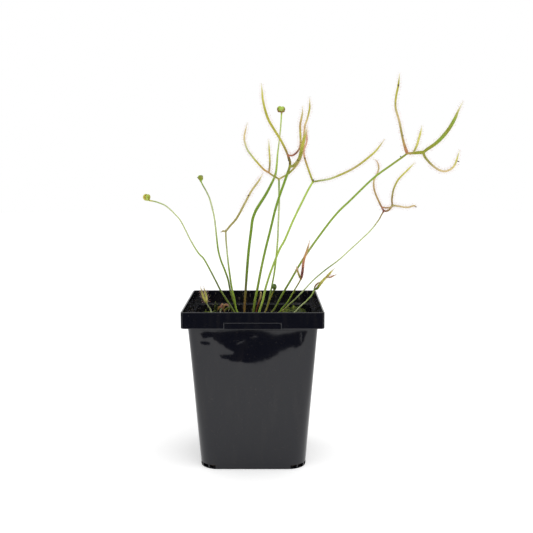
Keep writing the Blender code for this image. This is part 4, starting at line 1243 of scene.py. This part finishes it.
class SUNDEW_OT_moss(bpy.types.Operator):
    """Build the moss cushion at the right and the tuft with its shoots at the left"""

    bl_idname = "sundew.moss"
    bl_label = "Moss"

    def execute(self, context):
        settings = context.scene.sundew_moss
        mat = moss_material(settings)
        leaflet, shade = moss_leaflet()
        draw = random.Random(5)
        for name, moss in MOSS.items():
            piece(moss_core(moss), name + "_core", mat, [name])
            spots = []
            middle = Vector((*moss.centre, MOSS_CORE_Z)) * MM
            for _ in range(settings.shoots):
                foot = dome_point(moss, draw.random() ** 1.3, draw.uniform(0, 2 * pi), SHOOT_DEPTH)
                way = (foot - middle).normalized()
                way += Vector([draw.uniform(-SHOOT_SPREAD, SHOOT_SPREAD) for _ in range(3)])
                spots += shoot_places(foot, way.normalized(), draw.uniform(*SHOOT_HEIGHTS),
                                      draw.uniform(*SHOOT_WIDTHS), settings.leaflets, draw)
            for place, height, width in moss.sprigs:
                x, y = place[0] * MM, place[1] * MM
                foot = Vector((x, y, soil_height(x, y) + MOSS_RISE * MM))
                spots += shoot_places(foot, SPRIG_WAY, height, width * SPRIG_WIDTH,
                                      height * SPRIG_LEAFLETS, draw)
            piece(copies(leaflet, spots, shade, name), name + "_leaves", mat)
        return {"FINISHED"}


# Leaves


def smooth_route(points, step):
    """Points along a smooth curve through the given ones, about a step apart."""
    made = [points[0]]
    last = len(points) - 1
    for number in range(last):
        before = points[max(number - 1, 0)]
        start, end = points[number], points[number + 1]
        after = points[min(number + 2, last)]
        pieces = max(1, round((end - start).length / step))
        pull_in = (end - before) / 2
        pull_out = (after - start) / 2
        for part in range(1, pieces + 1):
            t = part / pieces
            made.append(
                start * (2 * t ** 3 - 3 * t ** 2 + 1) + pull_in * (t ** 3 - 2 * t ** 2 + t)
                + end * (3 * t ** 2 - 2 * t ** 3) + pull_out * (t ** 3 - t ** 2)
            )
    return made


def along(points):
    """How far along its length each point lies, from 0 to 1."""
    far = [0.0]
    for start, end in zip(points, points[1:]):
        far.append(far[-1] + (end - start).length)
    return [value / far[-1] for value in far]


def lean_back(point, depth):
    """Move a point of the front view's plane along its sight line to a depth."""
    return VIEW_POINT + (point - VIEW_POINT) * (1 - depth / VIEW_POINT.y)


def leaned(route, depths, power=1.0):
    """A route of the front view in space, leaning from its first depth to its last."""
    flat = [Vector((x, 0, z)) * MM for x, z in route]
    return [lean_back(point, blend(depths[0], depths[1], part ** power) * MM)
            for point, part in zip(flat, along(flat))]


def spread(values, part):
    """The value a part of the way along a strand, from values spread evenly over it."""
    place = max(0.0, min(1.0, part)) * (len(values) - 1)
    low = min(int(place), max(len(values) - 2, 0))
    high = min(low + 1, len(values) - 1)
    return blend(values[low], values[high], place - low)


def stem_points(leaf):
    """The stem's centre line: straight up out of the soil, then along its route."""
    x, y = (value * MM for value in leaf.root)
    ground = soil_height(x, y)
    foot = [Vector((x, y, ground - ROOT_DEPTH)), Vector((x, y, ground + STEM_RISE))]
    return smooth_route(foot + leaned(leaf.stem, (leaf.root[1], leaf.lean), LEAN_POWER), STEM_STEP)


def roll_frame(roll, lean):
    """A roll's middle, the axis that it is rolled round and the level way across it."""
    middle = lean_back(Vector((roll.centre[0], 0, roll.centre[1])) * MM, lean * MM)
    face = radians(roll.face)
    return middle, Vector((sin(face), -cos(face), 0)), Vector((cos(face), sin(face), 0))


def roll_points(roll, lean):
    """A young leaf's tip, rolled up flat from its outside inwards, and the axis it is rolled round."""
    middle, axis, side = roll_frame(roll, lean)
    made = []
    for step in range(ROLL_STEPS + 1):
        part = step / ROLL_STEPS
        angle = radians(roll.start + 360 * roll.turns * part)
        reach = (roll.radius - ROLL_THICKNESS / 2 - ROLL_PITCH * abs(roll.turns) * part) * MM
        made.append(middle + side * reach * cos(angle) + Vector((0, 0, reach * sin(angle))))
    return made, axis


def section_axes(points, number, twist, axis):
    """The tangent, broad way and thin way of a section; thin faces the viewer before its twist."""
    ahead = points[min(number + 1, len(points) - 1)]
    behind = points[max(number - 1, 0)]
    tangent = (ahead - behind).normalized()
    broad = axis or tangent.cross(Vector((0, 1, 0))).normalized()
    thin = tangent.cross(broad)
    return tangent, broad * cos(twist) + thin * sin(twist), thin * cos(twist) - broad * sin(twist)


class Strand:
    """One stem, arm or roll: its centre line, its sections and its tones."""

    def __init__(self, points, widths, tones, flatness=1.0, tip=0, faded=None, twist=0.0, channel=0.0,
                 axis=None, thickness=None):
        self.points = points
        self.parts = along(points)
        self.channel = channel
        self.axes = [section_axes(points, number, twist * part, axis)
                     for number, part in enumerate(self.parts)]
        total = sum((end - start).length for start, end in zip(points, points[1:]))
        self.halves = []
        self.tints = []
        for part in self.parts:
            width = spread(widths, part)
            tint = spread(tones, part)
            left = (1 - part) * total / MM
            if left < tip:
                width = blend(TIP_WIDTH, width, (left / tip) ** TIP_TAPER)
                tint = blend(tint, faded, (1 - left / tip) ** TIP_FADE)
            self.halves.append(width * MM / 2)
            self.tints.append(tint)
        self.depths = [thickness * MM / 2 if thickness else half * flatness for half in self.halves]

    def ring(self, number, turn=0.0):
        """One section's points; turned away from its middle by an angle, it is part of a round end."""
        tangent, broad, thin = self.axes[number]
        half, depth = self.halves[number] * cos(turn), self.depths[number] * cos(turn)
        middle = self.points[number] + tangent * self.depths[number] * sin(turn)
        made = []
        for side in range(STRAND_SIDES):
            angle = 2 * pi * (side + 0.5) / STRAND_SIDES
            across, deep = cos(angle), sin(angle)
            dent = self.channel * max(0.0, deep) * (1 - abs(across)) * 2 * half
            made.append(middle + broad * across * half + thin * (deep * depth - dent))
        return made

    def mesh(self):
        """The strand's skin, closed with round ends."""
        last = len(self.points) - 1
        ends = [radians(angle) for angle in ROUND_END]
        loops = [self.ring(0, -turn) for turn in ends]
        loops += [self.ring(number) for number in range(last + 1)]
        loops += [self.ring(last, turn) for turn in reversed(ends)]
        return strand(loops)


def tone_stops(settings, words):
    """The tones that a row of setting names stands for."""
    return [Vector(getattr(settings, word)) for word in words.split()]


def paint_tones(mesh, strands):
    """Give each point of a leaf the tone of the nearest place on its centre lines."""
    samples = [sample for s in strands for sample in zip(s.points, s.tints)]
    tree = kdtree.KDTree(len(samples))
    for number, (point, _) in enumerate(samples):
        tree.insert(point, number)
    tree.balance()
    held = mesh.attributes.new("tint", "FLOAT_COLOR", "POINT")
    for vert in mesh.vertices:
        near = tree.find_n(vert.co, 2)
        weights = [1 / (distance + NEAREST) for _, _, distance in near]
        tint = sum((samples[i][1] * w for (_, i, _), w in zip(near, weights)), Vector((0, 0, 0)))
        held.data[vert.index].color = (*(tint / sum(weights)), 1)


def ease_forks(mesh, forks):
    """Smooth the skin round each fork, so that the arms grow out of the stem."""
    bm = bmesh.new()
    bm.from_mesh(mesh)
    for fork in forks:
        near = [vert for vert in bm.verts if (vert.co - fork).length < FORK_REACH]
        for _ in range(FORK_ROUNDS):
            bmesh.ops.smooth_vert(bm, verts=near, factor=0.5,
                                  use_axis_x=True, use_axis_y=True, use_axis_z=True)
    bmesh.ops.recalc_face_normals(bm, faces=bm.faces)
    bm.to_mesh(mesh)
    bm.free()


def hair_template():
    """A gland hair, 1 long along Z: a bent tapering stalk and an oval head, with its shade."""
    loops = []
    for step in range(STALK_STEPS + 1):
        up = step / STALK_STEPS * STALK_LENGTH
        radius = blend(*STALK_RADII, step / STALK_STEPS)
        middle = Vector((STALK_BEND * up * up, 0, up))
        loops.append([middle + radius * Vector((c, s, 0)) for c, s in circle(3)])
    bm = bmesh.new()
    skin(bm, loops)
    stalk = set(bm.verts)
    place = Matrix.Translation(HEAD_PLACE) @ Matrix.Diagonal((1, 1, HEAD_LENGTH, 1))
    bmesh.ops.create_icosphere(bm, subdivisions=1, radius=HEAD_RADIUS, matrix=place)
    shade = [vert.co.z * 0.75 if vert in stalk else 1.0 for vert in bm.verts]
    return as_mesh(bm, "gland_hair"), shade


def dew_template():
    """A drop of dew round the head of a gland hair 1 long."""
    bm = bmesh.new()
    bmesh.ops.create_uvsphere(bm, u_segments=7, v_segments=5, radius=DEW_RADIUS,
                              matrix=Matrix.Translation(DEW_PLACE))
    return as_mesh(bm, "dew")


def redness(tint):
    """How red a leaf is at a place, from 0 to 1."""
    return max(0.0, min(1.0, RED_GAIN * (tint[0] - tint[1]) / tint[0]))


def arm_hairs(arm, settings, draw):
    """Places of the gland hairs along the edges and the upper face of one arm, and how red they are."""
    made = []
    for number in range(1, len(arm.points)):
        tangent, broad, thin = arm.axes[number]
        half = arm.halves[number]
        red = redness(arm.tints[number])
        for row, full in HAIR_ROWS:
            if draw.random() > HAIR_CHANCE:
                continue
            angle = radians(row + draw.uniform(-HAIR_SWING, HAIR_SWING))
            out = (broad * cos(angle) + thin * sin(angle)).normalized()
            way = (out + tangent * draw.uniform(*HAIR_LEAN)).normalized()
            foot = arm.points[number] + tangent * draw.uniform(-HAIR_SHIFT, HAIR_SHIFT) * MM
            foot += (broad * cos(angle) + thin * sin(angle) * 0.5) * half * 0.8
            thinning = min(1.0, 0.45 + half / (0.8 * MM))
            size = settings.reach * full * thinning * draw.uniform(*HAIR_SIZES)
            place = Matrix.Translation(foot) @ toward(way, draw.uniform(-0.6, 0.6)) @ Matrix.Scale(size, 4)
            made.append((place, red * draw.uniform(0.3, 1)))
    return made


def roll_hairs(roll, axis, settings, draw):
    """Short hairs out of both edges of a rolled up tip, and how red they are."""
    made = []
    for number in range(3, len(roll.points)):
        tangent, _, thin = roll.axes[number]
        for side in (-1, 1):
            foot = roll.points[number] + axis * side * roll.halves[number] * 0.9
            way = axis * side * draw.uniform(0.5, 1) + tangent * draw.uniform(0, 0.8)
            way += thin * draw.uniform(-0.9, 0.9)
            size = settings.reach * draw.uniform(*ROLL_HAIR_SIZES)
            place = Matrix.Translation(foot) @ toward(way.normalized(), draw.uniform(0, 6))
            made.append((place @ Matrix.Scale(size, 4), 0.25 * draw.random()))
    return made


def roll_core(roll, lean):
    """A flat ball in the middle of a roll, for the folded tip that fills it."""
    middle, axis, _ = roll_frame(roll, lean)
    half, depth = roll.radius * CORE_SHARE * MM, roll.wide * CORE_SHARE * MM
    size = Matrix.Diagonal((half, half, depth, 1))
    bm = bmesh.new()
    bmesh.ops.create_uvsphere(bm, u_segments=20, v_segments=12, radius=1,
                              matrix=Matrix.Translation(middle) @ toward(axis) @ size)
    return as_mesh(bm, "core")


def leaf_strands(name, leaf, settings, draw):
    """The stem, arms and rolls of one leaf, and the places of its hairs."""
    dead = name in HAIRLESS
    centre = stem_points(leaf)
    form = DEAD_STEM if dead else LIVE_STEM
    strands = [Strand(centre, leaf.girth, tone_stops(settings, leaf.tones), **form)]
    hairs = []
    for arm in leaf.arms:
        points = smooth_route(leaned(arm.route, arm.depth), settings.spacing)
        twist = draw.uniform(-ARM_TWIST, ARM_TWIST) * (DEAD_TWIST if dead else 1)
        made = Strand(points, arm.width, tone_stops(settings, arm.tones), ARM_FLATNESS, arm.tip,
                      Vector(settings.tip), twist, ARM_CHANNEL)
        strands.append(made)
        if not dead:
            hairs += arm_hairs(made, settings, draw)
    for roll in leaf.rolls:
        points, axis = roll_points(roll, leaf.lean)
        tones = tone_stops(settings, roll.tones)
        if (points[0] - centre[-1]).length > NECK_LEAST:
            neck = smooth_route([centre[-2], centre[-1], points[0]], NECK_STEP)
            strands.append(Strand(neck, (leaf.girth[-1], leaf.girth[-1] * NECK_GROWTH), tones[:1]))
        widths = [roll.wide * part for part in ROLL_WIDTHS]
        made = Strand(points, widths, tones, axis=axis, thickness=ROLL_THICKNESS)
        strands.append(made)
        hairs += roll_hairs(made, axis, settings, draw)
    return strands, hairs


def build_leaf(name, leaf, settings, mats, templates, draw):
    """One leaf as a skin piece, with pieces for its gland hairs and its dew."""
    strands, hairs = leaf_strands(name, leaf, settings, draw)
    whole = strands[0].mesh()
    if len(strands) > 1:
        cores = [roll_core(roll, leaf.lean) for roll in leaf.rolls]
        whole = boolean(whole, "UNION", [*(s.mesh() for s in strands[1:]), *cores])
        ease_forks(whole, [s.points[0] for s in strands[1:]] if leaf.arms else [])
    paint_tones(whole, strands)
    piece(whole, name + "_skin", mats["leaf"], [name])
    whole.set_sharp_from_angle(angle=LEAF_CREASE)
    if hairs:
        hair, shade, dew = templates
        places, flush = zip(*hairs)
        piece(copies(hair, places, shade, name, flush), name + "_hairs", mats["hair"])
        wet = [place for place in places
               if draw.random() < DEW_CHANCE and place.to_scale().x > DEW_LEAST]
        if wet:
            piece(copies(dew, wet, name=name), name + "_dew", mats["dew"])
    return strands


def on_view_plane(point):
    """Where a point is seen on the front view's plane."""
    return VIEW_POINT + (point - VIEW_POINT) * VIEW_POINT.y / (VIEW_POINT.y - point.y)


def speck_place(spot, size, strands, draw):
    """A caught speck's place: on the strand that is seen nearest to it, towards the viewer."""
    seen = Vector((spot[0], 0, spot[1])) * MM
    best = None
    for s in strands:
        for point, depth in zip(s.points, s.depths):
            away = (on_view_plane(point) - seen).length
            if best is None or away < best[0]:
                best = (away, point, depth)
    _, point, depth = best
    offset = seen - on_view_plane(point)
    wide, high = size[0] * MM, size[1] * MM
    place = point + offset + Vector((0, -depth - high / 4, 0))
    turn = Matrix.Rotation(draw.uniform(-0.5, 0.5), 4, "Y")
    return Matrix.Translation(place) @ turn @ Matrix.Diagonal((wide, high, high, 1))


class SUNDEW_OT_leaves(bpy.types.Operator):
    """Build every leaf with its forked arms, rolled tips, gland hairs and dew"""

    bl_idname = "sundew.leaves"
    bl_label = "Leaves"

    def execute(self, context):
        settings = context.scene.sundew_leaf
        draw = random.Random(7)
        mats = {"leaf": leaf_material(), "hair": hair_material(settings), "dew": dew_material()}
        templates = (*hair_template(), dew_template())
        specks = []
        for name, leaf in LEAVES.items():
            strands = build_leaf(name, leaf, settings, mats, templates, draw)
            specks += [speck_place(spot, size, strands, draw) for spot, size in SPECKS.get(name, ())]
        piece(copies(crumb_mesh(draw), specks, name="caught_specks"), "caught_specks",
              debris_material(settings))
        return {"FINISHED"}


# Stage


def stage_material(name, value, glow=0.0):
    """A plain grey without gloss, which may glow."""
    mat, shader = base_material(name, 0.9)
    shader.inputs["Base Color"].default_value = (value, value, value, 1)
    shader.inputs["Specular IOR Level"].default_value = 0
    shader.inputs["Emission Color"].default_value = (1, 1, 1, 1)
    shader.inputs["Emission Strength"].default_value = glow
    return mat


def reflected_only(obj):
    """Let a dark card be seen in glossy surfaces alone."""
    obj.visible_camera = False
    obj.visible_diffuse = False
    obj.visible_transmission = False
    obj.visible_volume_scatter = False
    obj.visible_shadow = False


# The dark patch that the gloss of the pot's front shows, with a streak beside it and thin
# bright glints in it, as (x, z) on that wall in millimetres
PATCH = ((-33.9, 92.6), (-31.7, 89.3), (-28.5, 89.8), (-26, 90.2), (-24.7, 88.2), (-22.8, 87.4),
         (-21.2, 85.7), (-19, 84.8), (-17.7, 83.3), (-14.9, 81.7), (-12.3, 80.3), (-12.7, 78.9),
         (-15.9, 78.7), (-21.3, 78.4), (-20, 77.2), (-19.7, 76.1), (-16.5, 75.5), (-14, 74.4),
         (-9.5, 73.6), (-7.6, 73.8), (-5, 72.9), (2.1, 72.9), (3.3, 73.5), (6.6, 73.7), (7.2, 74.9),
         (10.1, 74.8), (11.4, 76.3), (14.6, 77.9), (15.8, 78.3), (17.1, 80.8), (20.3, 81.3),
         (22.6, 82.9), (25.7, 83.8), (27.7, 83), (29.6, 84.1), (31.8, 85.4), (33.1, 88.3), (33.4, 90.3),
         (34.9, 94.3), (32, 94.4), (27.6, 94), (23.1, 93.4), (18, 92.6), (16.1, 92), (11.7, 92.7),
         (11, 93.9), (5.9, 94.9), (-0.4, 95.2), (-8.1, 94.7), (-15.7, 94), (-25.9, 93.5), (-30.4, 93.8))
STREAK = ((-33.8, 87.6), (-30.5, 87.7), (-28.6, 87.2), (-27, 86.4), (-27.6, 85.2), (-30.5, 85.3),
          (-33.4, 86.2))
GLINTS = (((-11.3, 85.1), (-8.1, 86.04), (-4.6, 88), (-8.1, 86.76)),
          ((-1.7, 89.3), (1.5, 90.14), (3.7, 90.2), (1.5, 90.86)),
          ((30.54, 93.2), (31.2, 85.4), (31.26, 93.2)))
CARD_HEIGHT = 1 * MM
GLINT_HEIGHT = 1.5 * MM
GLINT_GLOW = 0.8
WHITE = 0.9
FLOOR_RADIUS = 3

# The dark ring far out on the floor, seen in gloss alone as a painted reflection: its inner and outer
# radius, its height, and the angles from the front at which its gaps start and end
RING_REACH = (0.345, 2.9)
RING_HEIGHT = 0.6 * MM
RING_GAP = (66, 92)
RING_STEPS = 40

LAMP_SIZE = (0.9, 0.7)
LAMP_PLACE = Vector((0.3, -0.4, 1.2))
LAMP_AIM = Vector((0, 0, 0.12))


def front_wall(x, z, sway):
    """The y of the pot's front wall, bowed as bow_walls leaves it."""
    return bow(x, z, sway, FRONT_WAVES, FRONT_PHASE) - body_half(z)


def mirrored(spot, height, sway):
    """Where over the floor the viewer sees a spot of the front wall mirrored."""
    x, z = spot[0] * MM, spot[1] * MM
    place = Vector((x, front_wall(x, z, sway), z))
    step = 0.01 * MM
    slope_x = (front_wall(x + step, z, sway) - place.y) / step
    slope_z = (front_wall(x, z + step, sway) - place.y) / step
    way = (place - VIEW_POINT).reflect(Vector((slope_x, -1, slope_z)).normalized())
    return place + way * (height - z) / way.z


class SUNDEW_OT_stage(bpy.types.Operator):
    """Build the white floor and surround, the dark cards, the soft lamp and the camera"""

    bl_idname = "sundew.stage"
    bl_label = "Stage"

    def execute(self, context):
        settings = context.scene.sundew_stage
        scene = context.scene
        self.add_floor(settings)
        self.add_cards(scene.sundew_pot.sway)
        self.add_light(scene, settings)
        self.add_camera(scene)
        scene.view_settings.view_transform = "Standard"
        return {"FINISHED"}

    def add_floor(self, settings):
        """A wide round floor."""
        bm = bmesh.new()
        bmesh.ops.create_circle(bm, cap_ends=True, radius=FLOOR_RADIUS, segments=96)
        floor = link(as_mesh(bm, "floor"), "floor")
        floor.data.materials.append(stage_material("floor_white", WHITE, settings.glow))

    def add_cards(self, sway):
        """Painted reflections, seen in gloss alone: a dark ring far out on the floor, the ragged dark card
        that the pot's front mirrors, and the glowing glints over the card.
        """
        ring = link(self.ring_mesh(), "dark_ring")
        card = link(self.card_mesh((PATCH, STREAK), CARD_HEIGHT, sway), "dark_card")
        glints = link(self.card_mesh(GLINTS, GLINT_HEIGHT, sway), "glints")
        dark = stage_material("card_black", 0.0)
        ring.data.materials.append(dark)
        card.data.materials.append(dark)
        glints.data.materials.append(stage_material("glint_white", WHITE, GLINT_GLOW))
        for obj in (ring, card, glints):
            reflected_only(obj)

    def ring_mesh(self):
        """Two stretches of a flat ring, one at the front and one behind, with a gap at either side."""
        bm = bmesh.new()
        for start, end in ((-RING_GAP[0], RING_GAP[0]), (RING_GAP[1], 360 - RING_GAP[1])):
            turn = Matrix.Rotation(radians(start - 90), 3, "Z")
            ends = [bm.verts.new(turn @ Vector((reach, 0, RING_HEIGHT))) for reach in RING_REACH]
            bmesh.ops.spin(bm, geom=[*ends, bm.edges.new(ends)], cent=(0, 0, 0), axis=(0, 0, 1),
                           angle=radians(end - start), steps=RING_STEPS)
        bmesh.ops.recalc_face_normals(bm, faces=bm.faces)
        return as_mesh(bm, "dark_ring")

    def card_mesh(self, outlines, height, sway):
        """Flat cards at a height, which the pot's front mirrors as the given outlines."""
        bm = bmesh.new()
        for outline in outlines:
            bm.faces.new([bm.verts.new(mirrored(spot, height, sway)) for spot in outline])
        return as_mesh(bm, "card")

    def add_light(self, scene, settings):
        """The white surround and the soft lamp."""
        world = bpy.data.worlds.new("white_surround")
        world.use_nodes = True
        back = world.node_tree.nodes["Background"]
        back.inputs["Color"].default_value = (1, 1, 1, 1)
        back.inputs["Strength"].default_value = settings.sky
        scene.world = world
        data = bpy.data.lights.new("soft_lamp", "AREA")
        data.shape = "RECTANGLE"
        data.size, data.size_y = LAMP_SIZE
        data.energy = settings.lamp
        lamp = bpy.data.objects.new("soft_lamp", data)
        lamp.location = LAMP_PLACE
        lamp.rotation_euler = (LAMP_AIM - LAMP_PLACE).to_track_quat("-Z", "Y").to_euler()
        scene.collection.objects.link(lamp)

    def add_camera(self, scene):
        """The camera, with the photo's place, tilt and width."""
        data = bpy.data.cameras.new("camera")
        data.sensor_fit = "HORIZONTAL"
        data.sensor_width = 36
        data.lens = data.sensor_width * VIEW_FOCUS / FRAME_SIZE
        data.clip_start = 0.01
        camera = bpy.data.objects.new("camera", data)
        camera.location = VIEW_POINT
        camera.rotation_euler = (pi / 2 - VIEW_TILT, 0, 0)
        scene.collection.objects.link(camera)
        scene.camera = camera


class SUNDEW_PT_panel(bpy.types.Panel):
    """Lists the sundew's settings and the operators that build it"""

    bl_idname = "SUNDEW_PT_panel"
    bl_label = "Potted sundew"
    bl_space_type = "VIEW_3D"
    bl_region_type = "UI"
    bl_category = "Sundew"

    def draw(self, context):
        for name, operator in zip(SETTINGS, OPERATORS):
            box = self.layout.box()
            settings = getattr(context.scene, name)
            for prop in SETTINGS[name].__annotations__:
                box.prop(settings, prop)
            box.operator(operator.bl_idname)


OPERATORS = (SUNDEW_OT_pot, SUNDEW_OT_soil, SUNDEW_OT_moss, SUNDEW_OT_leaves, SUNDEW_OT_stage)


def register():
    for cls in (*SETTINGS.values(), *OPERATORS, SUNDEW_PT_panel):
        bpy.utils.register_class(cls)
    for name, cls in SETTINGS.items():
        setattr(bpy.types.Scene, name, PointerProperty(type=cls))


def unregister():
    for name in SETTINGS:
        delattr(bpy.types.Scene, name)
    for cls in reversed((*SETTINGS.values(), *OPERATORS, SUNDEW_PT_panel)):
        bpy.utils.unregister_class(cls)


def main():
    """Build every piece and the stage."""
    register()
    bpy.ops.sundew.pot()
    bpy.ops.sundew.soil()
    bpy.ops.sundew.moss()
    bpy.ops.sundew.leaves()
    bpy.ops.sundew.stage()


if __name__ == "__main__":
    main()
